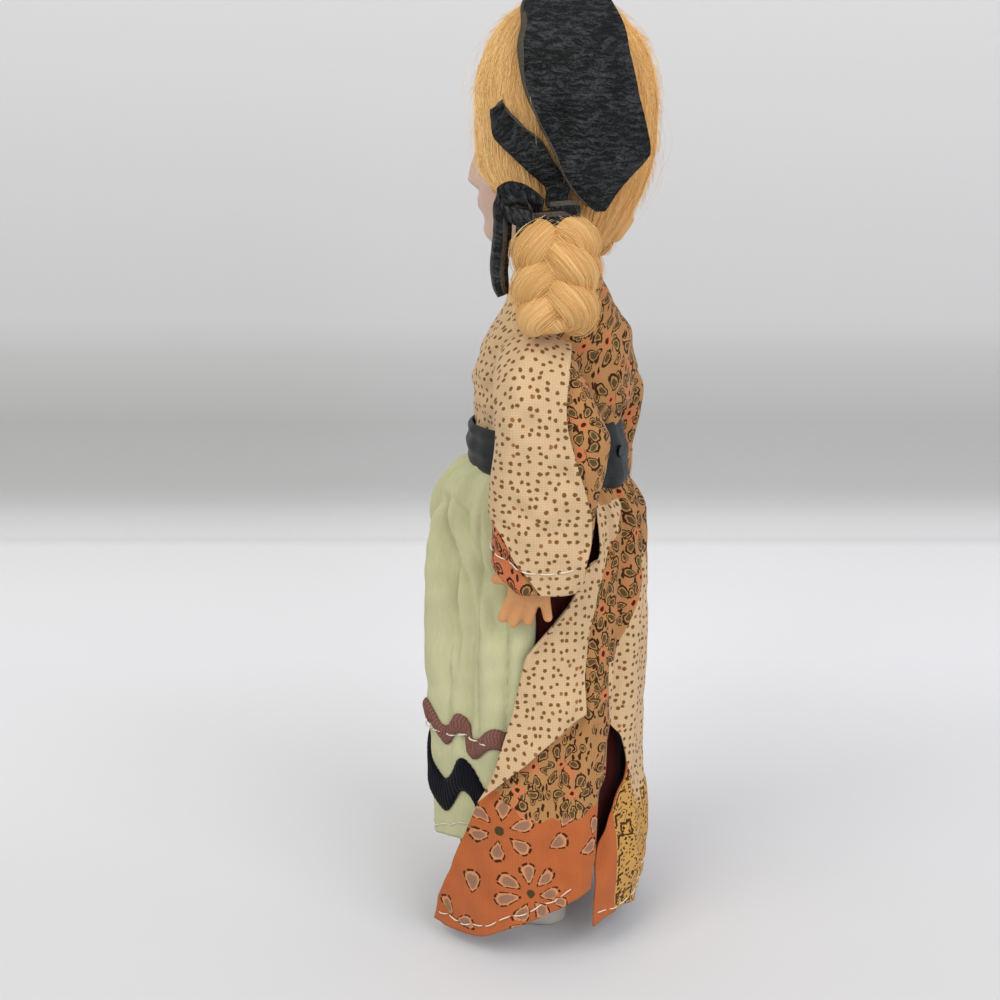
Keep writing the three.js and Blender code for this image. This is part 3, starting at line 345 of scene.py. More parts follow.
def hang(piece: Piece, body: str, slot: str, *nodes: str) -> Piece:
    """Lets a piece ride on a body, in the place of the CAD nodes named, which it hides."""
    if nodes:
        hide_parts(*nodes)
    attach(piece, body)
    return piece


# Finishes


Input = Union["Signal", float, str, tuple[float, ...]]


class Signal:
    """A value inside a material. Arithmetic on it adds the nodes that work it out."""

    def __init__(self, graph: "Graph", socket: bpy.types.NodeSocket | None) -> None:
        """Keeps the graph and the socket that gives the value."""
        self.graph, self.socket = graph, socket

    def __getitem__(self, output: str) -> "Signal":
        """Another output of the same node."""
        return Signal(self.graph, self.socket.node.outputs[output])

    def math(self, operation: str, *others: Input) -> "Signal":
        """A Math node on this value and the others."""
        return self.graph.add("Math", dict(enumerate((self, *others))), operation=operation)

    def vector(self, operation: str, other: Input = (0, 0, 0), **inputs: Input) -> "Signal":
        """A VectorMath node on this vector and the other."""
        return self.graph.add("VectorMath", {0: self, 1: other, **inputs}, operation=operation)

    def length(self) -> "Signal":
        """The vector's length."""
        return self.vector("LENGTH")["Value"]

    def __add__(self, other: Input) -> "Signal":
        """The sum."""
        return self.math("ADD", other)

    def __sub__(self, other: Input) -> "Signal":
        """The difference."""
        return self.math("SUBTRACT", other)

    def __mul__(self, other: Input) -> "Signal":
        """The product."""
        return self.math("MULTIPLY", other)

    def __truediv__(self, other: Input) -> "Signal":
        """The quotient."""
        return self.math("DIVIDE", other)

    def above(self, level: float) -> "Signal":
        """1 where the value is above the level, and 0 elsewhere."""
        return self.math("GREATER_THAN", level)

    def ranged(self, to_low: float, to_high: float, low: float = 0.0, high: float = 1.0, **settings: str) -> "Signal":
        """The value's way from low to high, carried over to the way between two others and held at its ends."""
        inputs = {"Value": self, "From Min": low, "From Max": high, "To Min": to_low, "To Max": to_high}
        return self.graph.add("MapRange", inputs, **settings)

    def below(self, low: float, high: float) -> "Signal":
        """A soft threshold: 1 below low, 0 above high, and a smooth fall between."""
        return self.ranged(1.0, 0.0, low, high, interpolation_type="SMOOTHSTEP")

    def near(self, level: float, inner: float, outer: float) -> "Signal":
        """A soft line: 1 where the value is within inner of a level, and 0 beyond outer of it."""
        return (self - level).math("ABSOLUTE").below(inner, outer)

    def mapped(self, turn: float, scale: tuple[float, float, float] = (1, 1, 1)) -> "Signal":
        """The place scaled, then turned by radians about Z."""
        return self.graph.add("Mapping", {"Vector": self, "Rotation": (0, 0, turn), "Scale": scale})


class Graph:
    """A material and its node tree, with its Principled shader and output already in place."""

    def __init__(self, name: str) -> None:
        """Makes the material with an empty tree and adds its two nodes."""
        self.material = bpy.data.materials.new(name)
        self.material.use_nodes = True
        self.tree = self.material.node_tree
        self.tree.nodes.clear()
        self.shader = self.add("BsdfPrincipled")
        self.add("OutputMaterial", {"Surface": self.shader})

    def add(self, kind: str, inputs: dict[int | str, Input] | None = None, **settings: object) -> Signal:
        """Adds a node.

        Args:
            kind: the node's type after "ShaderNode".
            inputs: for each input's name or number, a number, a vector, a hex colour or a signal.
            settings: the node's own properties.

        Returns:
            Its first output that is in use.
        """
        node = self.tree.nodes.new("ShaderNode" + kind)
        for key, value in settings.items():
            setattr(node, key, value)
        self.feed(node, inputs or {})
        return Signal(self, next((output for output in node.outputs if output.enabled), None))

    def feed(self, node: bpy.types.Node, inputs: dict[int | str, Input]) -> None:
        """Sets or links the inputs of a node."""
        for key, value in inputs.items():
            if isinstance(value, Signal):
                self.tree.links.new(value.socket, node.inputs[key])
            else:
                node.inputs[key].default_value = linear(value) if isinstance(value, str) else value

    def coat(self, colour: Signal, roughness: Input, **inputs: Input) -> None:
        """Feeds the Principled shader. In an input's name, low lines stand for spaces."""
        named = {name.replace("_", " "): value for name, value in inputs.items()}
        self.feed(self.shader.socket.node, {"Base Color": colour, "Roughness": roughness, **named})

    def uv(self, name: str) -> Signal:
        """A UV map."""
        return self.add("UVMap", uv_map=name)

    def noise(self, place_in: Signal, scale: float, detail: float, **inputs: Input) -> Signal:
        """Noise of a scale."""
        return self.add("TexNoise", {"Vector": place_in, "Scale": scale, "Detail": detail, **inputs})

    def cells(self, place_in: Signal, scale: float, randomness: float = 1.0, **settings: str) -> Signal:
        """The distance from the nearest point of a field of cells."""
        inputs = {"Vector": place_in, "Scale": scale, "Randomness": randomness}
        return self.add("TexVoronoi", inputs, voronoi_dimensions="2D", **settings)

    def lot(self, cells: Signal) -> Signal:
        """A number that each cell draws for itself, from 0 to 1."""
        return self.add("SeparateColor", {0: cells["Color"]})

    def mix(self, share: Input, low: Input, high: Input) -> Signal:
        """Two colours mixed by a share."""
        return self.add("Mix", {0: share, 6: low, 7: high}, data_type="RGBA")

    def layers(self, tone: Input, *coats: tuple[Signal, Input]) -> Signal:
        """A colour under coats, each a share and a colour laid over what is below."""
        for share, colour in coats:
            tone = self.mix(share, tone, colour)
        return tone

    def bump(self, height: Signal, strength: float, distance: float) -> Signal:
        """A normal tilted by a height, whose unit is a distance in metres."""
        return self.add("Bump", {"Height": height, "Strength": strength, "Distance": distance})

    def ramp(self, share: Signal, stops: Sequence[tuple[float, str]]) -> Signal:
        """A colour ramp with only the given stops."""
        toned = self.add("ValToRGB", {0: share})
        elements = toned.socket.node.color_ramp.elements
        for at, colour in stops:
            elements.new(at).color = linear(colour)
        elements.remove(elements[0])
        elements.remove(elements[-1])
        return toned


@dataclass(frozen=True)
class Finish:
    """A finish of one real material. paint() adds its nodes to a new graph."""

    name: str

    def paint(self, graph: Graph) -> None:
        """Adds the finish's nodes."""
        raise NotImplementedError

    def make(self) -> Material:
        """The finished material."""
        graph = Graph(self.name)
        self.paint(graph)
        return graph.material


@dataclass(frozen=True)
class Cotton(Finish):
    """Plain-weave cotton: matt, with the small checks of its threads shown in relief and as painted shade, slubs and a
    little fuzz.

    Attributes:
        ground: the cloth's dyed or bleached colour.
        thread: the colour of the odd darker thread in unprinted cloth.
        pitch: mm from thread to thread, a little coarser than the real 0.4 mm so that it shows.
        relief: mm that a thread stands up.
        mottle: how far the colour wanders, from 0 to 1.
    """

    ground: str = "#CDAE87"
    thread: str = "#C3A682"
    pitch: float = 0.5
    relief: float = 0.05
    mottle: float = 0.09

    def pattern(self, graph: Graph, cloth: Signal, slub: Signal) -> Signal:
        """The print over the ground colour, here none."""
        return graph.mix(slub, self.thread, self.ground)

    def paint(self, graph: Graph) -> None:
        """The weave's height is |sin(pi u / pitch)| times |sin(pi v / pitch)| on the cloth map, in mm."""
        cloth = graph.uv("cloth")
        turns = math.pi / self.pitch
        yarns = graph.add("SeparateXYZ", {0: cloth.vector("MULTIPLY", (turns, turns, 0))})
        weave = (yarns.math("SINE") * yarns["Y"].math("SINE")).math("ABSOLUTE")
        slub = graph.noise(cloth.vector("MULTIPLY", (1.0, 0.16, 0)), 1.4, 3.0)
        uneven = graph.noise(cloth, 0.09, 2.0).ranged(1 - self.mottle, 1 + self.mottle)
        worn = slub.ranged(1 - self.mottle / 2, 1 + self.mottle / 2)
        # The colour is darker where the weave is low: painted shade between the threads, times the cloth's own mottle
        # and slubs.
        light = weave.ranged(0.9, 1.07) * uneven * worn
        dyed = self.pattern(graph, cloth, slub).vector("SCALE", Scale=light)
        bump = graph.bump(slub.math("MULTIPLY_ADD", 0.9, weave), 0.55, self.relief / 1000)
        graph.coat(dyed, 0.92, Normal=bump, IOR=1.46, Specular_IOR_Level=0.15, Sheen_Weight=0.1, Sheen_Roughness=0.45)


@dataclass(frozen=True)
class DottedCotton(Cotton):
    """Cream cotton printed with small brown dots: the dots are round, uneven and about 2 mm apart.

    Attributes:
        dot: the usual dot's colour.
        warm_dot: the colour of the odd redder dot.
        spacing: mm between dots.
        reach: a dot's radius in mm.
    """

    dot: str = "#775329"
    warm_dot: str = "#95633A"
    spacing: float = 1.78
    reach: float = 0.43

    def pattern(self, graph: Graph, cloth: Signal, slub: Signal) -> Signal:
        """A dot stands at each cell's own point, wherever that point is nearer than the dot's radius."""
        bent = graph.noise(cloth, 1.1, 1.0)["Color"].vector("SCALE", Scale=0.5)
        cells = graph.cells(cloth.vector("ADD", bent), 1 / self.spacing, 0.6)
        radius = self.reach / self.spacing
        ink = graph.mix(graph.lot(cells).above(0.9), self.dot, self.warm_dot)
        return graph.mix(cells.below(radius * 0.78, radius * 1.12), self.ground, ink)


def petals(graph: Graph, spot: Signal, count: Input, reach: Input) -> tuple[Signal, Signal, Signal]:
    """The petals of a flower.

    Each petal is an egg whose middle lies 0.64 R from the flower's: it reaches 0.34 R each way along the radius
    and 0.31 radians each way about the flower, so that it narrows towards the middle.
    The angle about the flower is folded into one petal's share, 2 pi / count.

    Args:
        graph: the material's graph.
        spot: the place from the flower's middle, in mm.
        count: the number of petals.
        reach: R in mm.

    Returns:
        The distance from the flower's middle over R, a value that is 1 on a petal's edge, and the angle
        about the petal.
    """
    axes = graph.add("SeparateXYZ", {0: spot})
    turn = axes["Y"].math("ARCTAN2", axes)
    folded = (turn / (2 * math.pi)).math("MULTIPLY_ADD", count, 20.5).math("FRACT")
    off_axis = (folded - 0.5) * (2 * math.pi) / count
    share = spot.length() / reach
    long_way = (share * off_axis.math("COSINE") - 0.64) / 0.34
    wide_way = off_axis / 0.31
    oval = graph.add("CombineXYZ", {0: long_way, 1: wide_way}).length()
    return share, oval, wide_way.math("ARCTAN2", long_way)


def unsteady(graph: Graph, source: Signal, scale: float, amount: float) -> Signal:
    """A map in mm with the wobble of a hand-cut print: noise of one scale per mm on the cloth map, times an amount."""
    bent = graph.noise(graph.uv("cloth"), scale, 2.0)["Color"].vector("SUBTRACT", (0.5, 0.5, 0.5))
    return source.vector("ADD", bent.vector("SCALE", Scale=amount))


@dataclass(frozen=True)
class FloralCotton(Cotton):
    """Cotton closely printed with flowers, seeds and strokes in dark brown and olive on light brown.

    Attributes:
        ink: the outlines' colour.
        fill: the colour inside most petals.
        accent: the ground's warmer patches, and the flowers' middles.
        patches: how much of the ground the patches take, from 0 to 1.
        bloom: mm between flowers.
    """

    ground: str = "#AF8050"
    ink: str = "#3A200E"
    fill: str = "#57482A"
    accent: str = "#C6764C"
    patches: float = 0.3
    bloom: float = 9.0

    def pattern(self, graph: Graph, cloth: Signal, slub: Signal) -> Signal:
        """Flowers of six petals on the points of wide cells, over outlined seeds and drawn-out strokes."""
        rough = unsteady(graph, cloth, 0.7, 1.1)
        edge = 1 - self.patches
        patch = graph.noise(cloth, 0.15, 1.0).ranged(0.0, 1.0, edge - 0.08, edge + 0.04)
        base = graph.mix(patch, self.ground, self.accent)
        rising, falling = (
            graph.cells(rough.mapped(turn, (0.62, 0.27, 1)), 1.0).below(0.17, 0.24) for turn in (0.45, -0.9)
        )
        falls = graph.noise(cloth, 0.2, 0.0).above(0.5)
        stroke = graph.add("Mix", {0: falls, 2: rising, 3: falling})
        seeds = graph.cells(rough.mapped(1.2, (0.44, 0.26, 1)), 1.0)
        seed = seeds + graph.lot(seeds).above(0.55)
        beds = graph.cells(rough, 1 / self.bloom, 0.7)
        spot = rough.vector("SUBTRACT", beds["Position"])
        aim = graph.lot(beds) * 6.28
        own_spot = graph.add("VectorRotate", {"Vector": spot, "Angle": aim}, rotation_type="Z_AXIS")
        share, oval, _ = petals(graph, own_spot, 6.0, self.bloom * 0.55)
        return graph.layers(
            base, (stroke, self.ink), (seed.below(0.27, 0.3), base), (seed.below(0.12, 0.16), self.fill),
            (seed.near(0.26, 0.025, 0.045), self.ink), (share.below(0.22, 0.27), self.accent),
            (oval.below(0.9, 1.0), base), (oval.below(0.46, 0.56), self.fill),
            (oval.near(0.84, 0.09, 0.18), self.ink), (share.below(0.09, 0.12), self.ink),
        )


@dataclass(frozen=True)
class DaisyCotton(Cotton):
    """Orange cotton printed with large open daisies: dashed brown outlines round mauve-grey petals.

    The map "motif" gives each face its place from the middle of the daisy nearest to it, in mm, and the
    map "kind" that daisy's number of petals and its reach in mm.

    Attributes:
        ink: the outlines' colour.
        petal: the colour of the petals' rims.
        core: the colour inside the petals.
        heart: the colour of the flower's middle.
    """

    ground: str = "#B46236"
    ink: str = "#3E200C"
    petal: str = "#C98A60"
    core: str = "#966F58"
    heart: str = "#4A3D22"

    def pattern(self, graph: Graph, cloth: Signal, slub: Signal) -> Signal:
        """Petals with a darker core, and an outline broken where sin(7 . the angle about the petal) is low."""
        count = graph.add("SeparateXYZ", {0: graph.uv("kind")})
        share, oval, turn = petals(graph, unsteady(graph, graph.uv("motif"), 0.4, 1.2), count, count["Y"])
        dashed = oval.near(0.92, 0.07, 0.13) * (turn * 7.0).math("SINE").above(-0.72)
        disc = share.below(0.12, 0.15) * count.above(1.5)
        return graph.layers(self.ground, (oval.below(0.8, 0.9), self.petal), (oval.below(0.5, 0.66), self.core),
                            (dashed, self.ink), (disc, self.heart))


@dataclass(frozen=True)
class SquareCotton(Cotton):
    """Mustard cotton printed with brown specks, curls and a few open squares, and a row of brackets at its edge.

    The map "motif" has the mm from that edge as u, and the height as v.

    Attributes:
        ink: the print's colour.
        rung: mm from bracket to bracket.
    """

    ground: str = "#C59650"
    ink: str = "#452810"
    rung: float = 4.6

    def pattern(self, graph: Graph, cloth: Signal, slub: Signal) -> Signal:
        """Specks on small cells, thin square frames on some wide ones, curls, and a bracket for each rung."""
        rough = unsteady(graph, cloth, 0.6, 1.6)
        frames = graph.cells(rough, 0.15, 0.9, distance="CHEBYCHEV")
        rare = graph.lot(frames).above(0.6)
        curl = graph.noise(cloth, 0.34, 0.0).near(0.52, 0.009, 0.016) * rare
        edge = graph.add("SeparateXYZ", {0: graph.uv("motif")})
        rung = (edge["Y"] / self.rung).math("FRACT")
        upright = edge.near(0.6, 0.26, 0.36) * rung.near(0.36, 0.27, 0.3)
        level = edge.near(1.3, 0.8, 0.95) * rung.near(0.6, 0.05, 0.07)
        shares = (graph.cells(rough, 0.9).below(0.2, 0.28), curl, frames.near(0.2, 0.025, 0.045) * rare,
                  upright.math("MAXIMUM", level))
        return graph.layers(self.ground, *((share, self.ink) for share in shares))


@dataclass(frozen=True)
class Satin(Finish):
    """Charcoal acetate satin: smooth and softly lustrous, with fine ribs along its width and pressed creases."""

    def paint(self, graph: Graph) -> None:
        """Ribs 0.35 mm apart along the cloth map's v, and slow creases that follow u; the colour is darker in the
        creases' hollows and paler on their crests, as painted shade.
        """
        cloth = graph.uv("cloth")
        inputs = {"Vector": cloth, "Scale": 0.9, "Distortion": 0.6, "Detail": 1.0}
        ribs = graph.add("TexWave", inputs, bands_direction="Y")["Fac"]
        creases = graph.noise(cloth.vector("MULTIPLY", (0.12, 0.9, 0)), 0.55, 3.0)
        bump = graph.bump(creases.math("MULTIPLY_ADD", 6.0, ribs), 0.5, 0.00007)
        # Painted shade: the colour follows the creases, darker in their hollows and paler on their crests.
        tone = graph.mix(creases, "#141516", "#2C2E30")
        graph.coat(tone, 0.5, Normal=bump, IOR=1.45, Specular_IOR_Level=0.22, Sheen_Weight=0.06)


@dataclass(frozen=True)
class Leatherette(Finish):
    """Black coated cloth pressed with a fine leather grain: half gloss, pebbled, with soft slanting creases."""

    colour: str = "#060708"
    # The second colour is a painted highlight on the grain's crests.
    raised: str = "#3B3D3F"

    def paint(self, graph: Graph) -> None:
        """Wrinkles of about 2.5 by 0.8 mm and pebbles of 0.4 mm, with a painted highlight where they are high and
        painted sheen in slow patches.
        """
        cloth = graph.uv("cloth")
        rough = unsteady(graph, cloth, 0.5, 1.2)
        wrinkles = graph.noise(rough.mapped(0.35, (0.36, 1.25, 1)), 1.1, 3.0, Distortion=0.7)
        crest = graph.noise(rough, 2.6, 1.0).math("MULTIPLY_ADD", 0.45, wrinkles)
        # Slow noise over the crests spreads the painted highlight into patches of painted sheen.
        spread = graph.noise(cloth, 0.11, 1.0).math("MULTIPLY_ADD", 0.5, crest)
        tone = graph.mix(spread.ranged(0.0, 1.0, 0.9, 1.22), self.colour, self.raised)
        graph.coat(tone, 0.4, Normal=graph.bump(crest, 1.0, 0.0006), IOR=1.45, Specular_IOR_Level=0.2)


@dataclass(frozen=True)
class Backing(Finish):
    """The cut edge and back of coated cloth: grey-brown, fibrous and dry."""

    def paint(self, graph: Graph) -> None:
        """Fibres drawn along the cloth map."""
        fibres = graph.noise(graph.uv("cloth"), 2.2, 4.0)
        tone = graph.mix(fibres, "#17130F", "#5E5448")
        graph.coat(tone, 0.95, Normal=graph.bump(fibres, 0.5, 0.0001), IOR=1.45)


@dataclass(frozen=True)
class Mohair(Finish):
    """Combed golden mohair: fine strands with a silky streak of light, and a painted highlight where they stand up.

    Attributes:
        root: painted shade between strands.
        body: the usual strand.
        tip: the palest strand, a painted highlight on strands that stand up.
    """

    root: str = "#AC7B3E"
    body: str = "#C29252"
    tip: str = "#E6BC7F"

    def paint(self, graph: Graph) -> None:
        """Strands from noise that is drawn out along the run map's v, with u the way across the hair, both in mm."""
        run = graph.uv("run")
        fine, wide = (run.vector("MULTIPLY", stretch) for stretch in ((2.6, 0.1, 0), (0.5, 0.05, 0)))
        strands = graph.noise(fine, 1.0, 5.0, Roughness=0.62, Distortion=0.25)
        locks = graph.noise(wide, 1.0, 2.0).math("MULTIPLY_ADD", 0.45, strands)
        # Painted shade and highlight: the colour follows the strands' relief, darker in its hollows and paler on its
        # crests.
        tone = graph.ramp(locks, ((0.42, self.root), (0.68, self.body), (0.97, self.tip)))
        graph.coat(tone, 0.7, Normal=graph.bump(locks, 0.35, 0.0002), IOR=1.5, Sheen_Weight=0.25, Sheen_Roughness=0.4,
                   Sheen_Tint=self.tip)


@dataclass(frozen=True)
class LooseHair(Finish):
    """Single mohair strands, each its own shade of gold by the attribute "shade"."""

    # Both colours are paler than the combed mohair's: a painted highlight that makes up for the shade the strands cast
    # on one another.
    dark: str = "#F0B869"
    pale: str = "#FFDD9C"

    def paint(self, graph: Graph) -> None:
        """The attribute mixes the two colours."""
        shade = graph.add("Attribute", attribute_name="shade")["Fac"]
        graph.coat(graph.mix(shade, self.dark, self.pale), 0.65, IOR=1.5)


@dataclass(frozen=True)
class SkinPlastic(Finish):
    """Hard plastic moulded in a skin colour: half matt, faintly translucent, with the mould's fine texture."""

    colour: str = "#D69B62"
    shade: str = "#C68852"

    def coated(self, graph: Graph, tone: Signal) -> Signal:
        """The plastic's colour under any paint, here bare."""
        return tone

    def paint(self, graph: Graph) -> None:
        """Slow mottling and a very fine relief on Object coordinates, in metres."""
        place_in = graph.add("TexCoord")["Object"]
        tone = self.coated(graph, graph.mix(graph.noise(place_in, 240.0, 2.0), self.shade, self.colour))
        bump = graph.bump(graph.noise(place_in, 2600.0, 2.0), 0.15, 0.00004)
        graph.coat(tone, 0.46, Normal=bump, IOR=1.53, Subsurface_Weight=0.12, Subsurface_Scale=0.002)


@dataclass(frozen=True)
class FacePlastic(SkinPlastic):
    """The head's plastic, paler than the body's, with sprayed blush and hand-painted lips, brows and lashes."""

    colour: str = "#CDB09C"
    shade: str = "#C2A390"

    def coated(self, graph: Graph, tone: Signal) -> Signal:
        """The three painted attributes are laid over the plastic's own colour in turn."""
        paints = (("blush", "#C4806F", 0.26), ("lips", "#A8504E", 0.85), ("brows", "#5B3A28", 0.85))
        for name, colour, strength in paints:
            share = graph.add("Attribute", attribute_name=name)["Fac"] * strength
            tone = graph.mix(share, tone, colour)
        return tone


@dataclass(frozen=True)
class EyePlastic(Finish):
    """A moulded sleep eye: glossy, with a painted iris and pupil and a skin-coloured lid over its top."""

    iris: str = "#4F6F8F"

    def paint(self, graph: Graph) -> None:
        """Rings by the distance on the map "gaze", in degrees from the eye's front, and the lid above 27 degrees."""
        gaze = graph.uv("gaze")
        off = gaze.length()
        axes = graph.add("SeparateXYZ", {0: gaze})
        spoke = (axes["Y"].math("ARCTAN2", axes) * 23.0).math("SINE").ranged(0.0, 1.0, -1.0)
        white = graph.mix(off.below(25.5, 27), "#EEEAE4", "#23303C")
        lid = axes["Y"].ranged(0.0, 1.0, 27.0, 29.0)
        tone = graph.layers(white, (off.below(23, 25), graph.mix(spoke, self.iris, "#86A7C2")),
                            (off.below(9.5, 11), "#0C0C0E"), (lid, "#D2A796"))
        graph.coat(tone, lid.ranged(0.08, 0.45), IOR=1.5)


@dataclass(frozen=True)
class Thread(Finish):
    """Sewing cotton: pale twisted thread, matt with a slight sheen."""

    colour: str = "#EFE6D6"

    def paint(self, graph: Graph) -> None:
        """The twist is a wave that climbs round the run map."""
        plies = graph.add("TexWave", {"Vector": graph.uv("run").mapped(0.7), "Scale": 2.2})["Fac"]
        tone = graph.mix(plies, "#CFC2AE", self.colour)
        graph.coat(tone, 0.8, Normal=graph.bump(plies, 0.4, 0.00003), Sheen_Weight=0.2)


@dataclass(frozen=True)
class Rickrack(Cotton):
    """Woven zigzag braid: thick slanting cotton threads, with painted shade between them and a painted highlight on
    them.
    """

    def pattern(self, graph: Graph, cloth: Signal, slub: Signal) -> Signal:
        """Slanting threads 0.7 mm apart, by a wave over the cloth map."""
        threads = graph.add("TexWave", {"Vector": cloth.mapped(0.6), "Scale": 0.45, "Distortion": 1.0})["Fac"]
        # Painted shade and highlight: the colour is darker between the threads and paler on them.
        thread_shading = threads.ranged(0.72, 1.25)
        return graph.add("VectorMath", {0: linear(self.ground)[:3], "Scale": thread_shading}, operation="SCALE")


@dataclass(frozen=True)
class Metal(Finish):
    """Plated steel, as of a snap and of wire: bright or blackened, with fine scratches."""

    dark: str = "#B9B6AE"
    bright: str = "#D4D1CA"

    def paint(self, graph: Graph) -> None:
        """Roughness wanders with a fine noise on Object coordinates."""
        wear = graph.noise(graph.add("TexCoord")["Object"], 900.0, 3.0)
        graph.coat(graph.mix(wear, self.dark, self.bright), wear.ranged(0.18, 0.42), Metallic=1.0)


@dataclass(frozen=True)
class Paper(Finish):
    """Matt backdrop paper, with painted shade: darker towards the camera and in a band where the floor turns up into
    the wall.

    Attributes:
        tones: (mm on from below the doll, colour) along the sweep.
    """

    # The darker tones before 150 mm and from 280 mm to 365 mm are painted shade.
    tones: tuple[tuple[float, str], ...] = (
        (-200, "#CCCCCC"), (0, "#DADADB"), (150, "#F0F0F2"), (262, "#F2F2F3"), (280, "#D4D4D4"), (300, "#B6B6B5"),
        (325, "#AFAFAE"), (350, "#BABAB9"), (365, "#C6C5C5"), (500, "#D4D4D4"),
    )

    def paint(self, graph: Graph) -> None:
        """Tones by the run map's v, the mm on from below the doll, and seen through from behind."""
        start, reach = -200.0, 800.0
        way = graph.add("SeparateXYZ", {0: graph.uv("run")})["Y"].ranged(0.0, 1.0, start, start + reach)
        tone = graph.ramp(way, [((at - start) / reach, colour) for at, colour in self.tones])
        graph.coat(tone, 0.95, IOR=1.3, Specular_IOR_Level=0.1)
        facing = graph.add("NewGeometry")["Backfacing"]
        shown = graph.add("MixShader", {0: facing, 1: graph.shader, 2: graph.add("BsdfTransparent")})
        graph.feed(graph.tree.nodes["Material Output"], {"Surface": shown})


# Clothes


class Print(IntEnum):
    """The slots of the printed cottons, in the order of the list that main() makes."""

    FLORAL, DAISY, DOTTED, SQUARE, ORANGE_FLORAL = range(5)


def through(knots: Sequence[tuple[float, ...]], share: Array) -> list[Array]:
    """Each coordinate of a curve through knots, at a share of the way counted in knots."""
    places = np.linspace(0, 1, len(knots))
    return [track(list(zip(places, column)))(share) for column in zip(*knots)]


def cloth_map(points: Array, wrapped: bool = False, column: int | None = None) -> Array:
    """The cloth's own flat coordinates in mm.

    u is the way along a row from one column, the middle one if none is named, and v the way up that column.
    """
    ring = np.concatenate([points, points[:, :1]], 1) if wrapped else points
    column = ring.shape[1] // 2 if column is None else column
    across = np.cumsum(np.linalg.norm(np.diff(ring, axis=1, prepend=ring[:, :1]), axis=-1), axis=1)
    upward = np.cumsum(np.linalg.norm(np.diff(ring[:, column], axis=0, prepend=ring[:1, column]), axis=-1))
    return np.stack([across - across[:, [column]], np.broadcast_to(upward[:, None], across.shape)], -1)


SKIRT_RADIUS = 24.0  # mm, the mean one of the outer skirt where its prints show
WAIST_TOP = 108.0  # mm, up to which the skirts reach under the belt


def unrolled(angle: Array, height: Array) -> Array:
    """The skirt's flat coordinates in mm: u is the angle in degrees rolled out at the mean radius, and v the height."""
    return np.stack(np.broadcast_arrays(np.radians(angle) * SKIRT_RADIUS, height), -1)


def ridge(angle: Array, height: Array, line: Knots, width: float, depth: float, low: float, high: float) -> Array:
    """A long fold or valley down a skirt.

    Args:
        angle: degrees from the front.
        height: mm above the floor.
        line: (height, degrees) of its crest, from the lowest up.
        width: degrees from its crest to where it has fallen to a third.
        depth: mm outwards, or inwards if negative.
        low: the height at which it has gone.
        high: the height at which it has gone above.

    Returns:
        depth times exp(-(distance from the crest / width) squared), faded over 8 mm at both ends.
    """
    away = (angle - track(line)(height)) / width
    return depth * np.exp(-(away**2)) * smooth(low, low + 8, height) * (1 - smooth(high - 8, high, height))


def declare(skin: Skin) -> None:
    """Works out the two diagonals of each cell of a sheet of cloth's grid, and keeps nothing.
    """
    points = np.concatenate([skin.points, skin.points[:, :1]], 1) if skin.wrapped else skin.points
    first, second = points[1:, 1:] - points[:-1, :-1], points[1:, :-1] - points[:-1, 1:]


UNDERSKIRT_FORM = Form(
    ((18, 22, 20.5, 17.6), (30, 20.6, 20.6, 17.4), (50, 18.8, 20.4, 17), (65, 17.4, 19.6, 17),
     (75, 16.4, 18.8, 16.8), (90, 15.2, 16.8, 15.6),
     *((z, 13.15, 13.85, 13.45) for z in (101.7, 104.5, 108)))
)
APRON_FORM = Form(
    ((16, 22.6, 25.4, 24), (31, 22, 25.6, 24), (43, 21.2, 26.2, 22), (57, 20.2, 26.9, 20), (65, 19.3, 26.8, 20),
     (73, 18.4, 26.2, 20), (90, 17.2, 24.6, 20), (96, 16.9, 23.5, 19), (99.5, 16.2, 22.5, 17.4),
     (103.2, 15.2, 20, 15.6), (105, 15, 16.6, 15.3), (106, 15, 15.7, 15.3), (108, 15, 15.7, 15.3))
)
OVERSKIRT_FORM = Form(
    ((0.8, 26.4, 28.2, 20), (14, 25.8, 28.2, 21), (24, 25.4, 28.2, 21.2), (37, 24.6, 28, 19.6), (50, 22.6, 26, 20),
     (65, 20.6, 22, 20.4), (79, 18.8, 20, 20.2), (93, 17.4, 18, 19.4), (98, 16.6, 17, 18.2),
     (101.7, 15.4, 15.9, 15.9), (104, 14.9, 15.4, 14.9), (108, 14.4, 15, 14.1))
)
BODICE_FORM = Form(
    ((108.6, 13.9, 14.9, 14), (112, 14.4, 15.1, 14.2), (116, 14.8, 15.2, 15.8), (122.5, 15.35, 15.6, 18),
     (128, 15.35, 14, 17.6), (132, 14.8, 12.2, 16.4), (135, 12.4, 10.4, 15), (138.5, 8.8, 8.6, 12.8),
     (141, 7.8, 8, 11.6), (145.5, 7.4, 7.6, 10.2))
)
BELT_FORM = Form(
    ((100.4, 16.35, 17.05, 16.65), (105, 16.35, 17.05, 16.65), (110, 16.35, 17.05, 15.9),
     (114.6, 15.8, 16.5, 14.6))
)


@dataclass
class Underskirt:
    """The dark inner skirt: a closed bell that shows at the openings of the outer one. Its near-black maroon is partly
    its own colour and partly painted shade for the deep folds there.
    """

    material: Material
    hem_height: float = 18.2
    folds: int = 11

    def make(self) -> Piece:
        """Its folds go inwards by up to 1.3 mm at the hem, as (1 - cos(folds . angle)) / 2."""
        heights = np.linspace(self.hem_height, WAIST_TOP, 70)
        height, turn = np.meshgrid(heights, np.linspace(0, 2 * np.pi, 160, endpoint=False), indexing="ij")
        fall = 1 - smooth(40, 95, height)
        fold = (1 - np.cos(self.folds * turn + 0.4 * np.sin(3 * turn))) / 2
        fine = waves(11, 12, 14, 4)(turn * 20, height * 0.4)
        points = UNDERSKIRT_FORM.at(turn, height, -1.3 * fall * fold + 0.12 * fine)
        skin = Skin(points, {"cloth": cloth_map(points, True)}, wrapped=True)
        piece = hang(build("inner_skirt", [skin], [self.material]), "torso", "dark_cotton", "underskirt")
        thicken(piece, 0.35)
        declare(skin)
        return piece


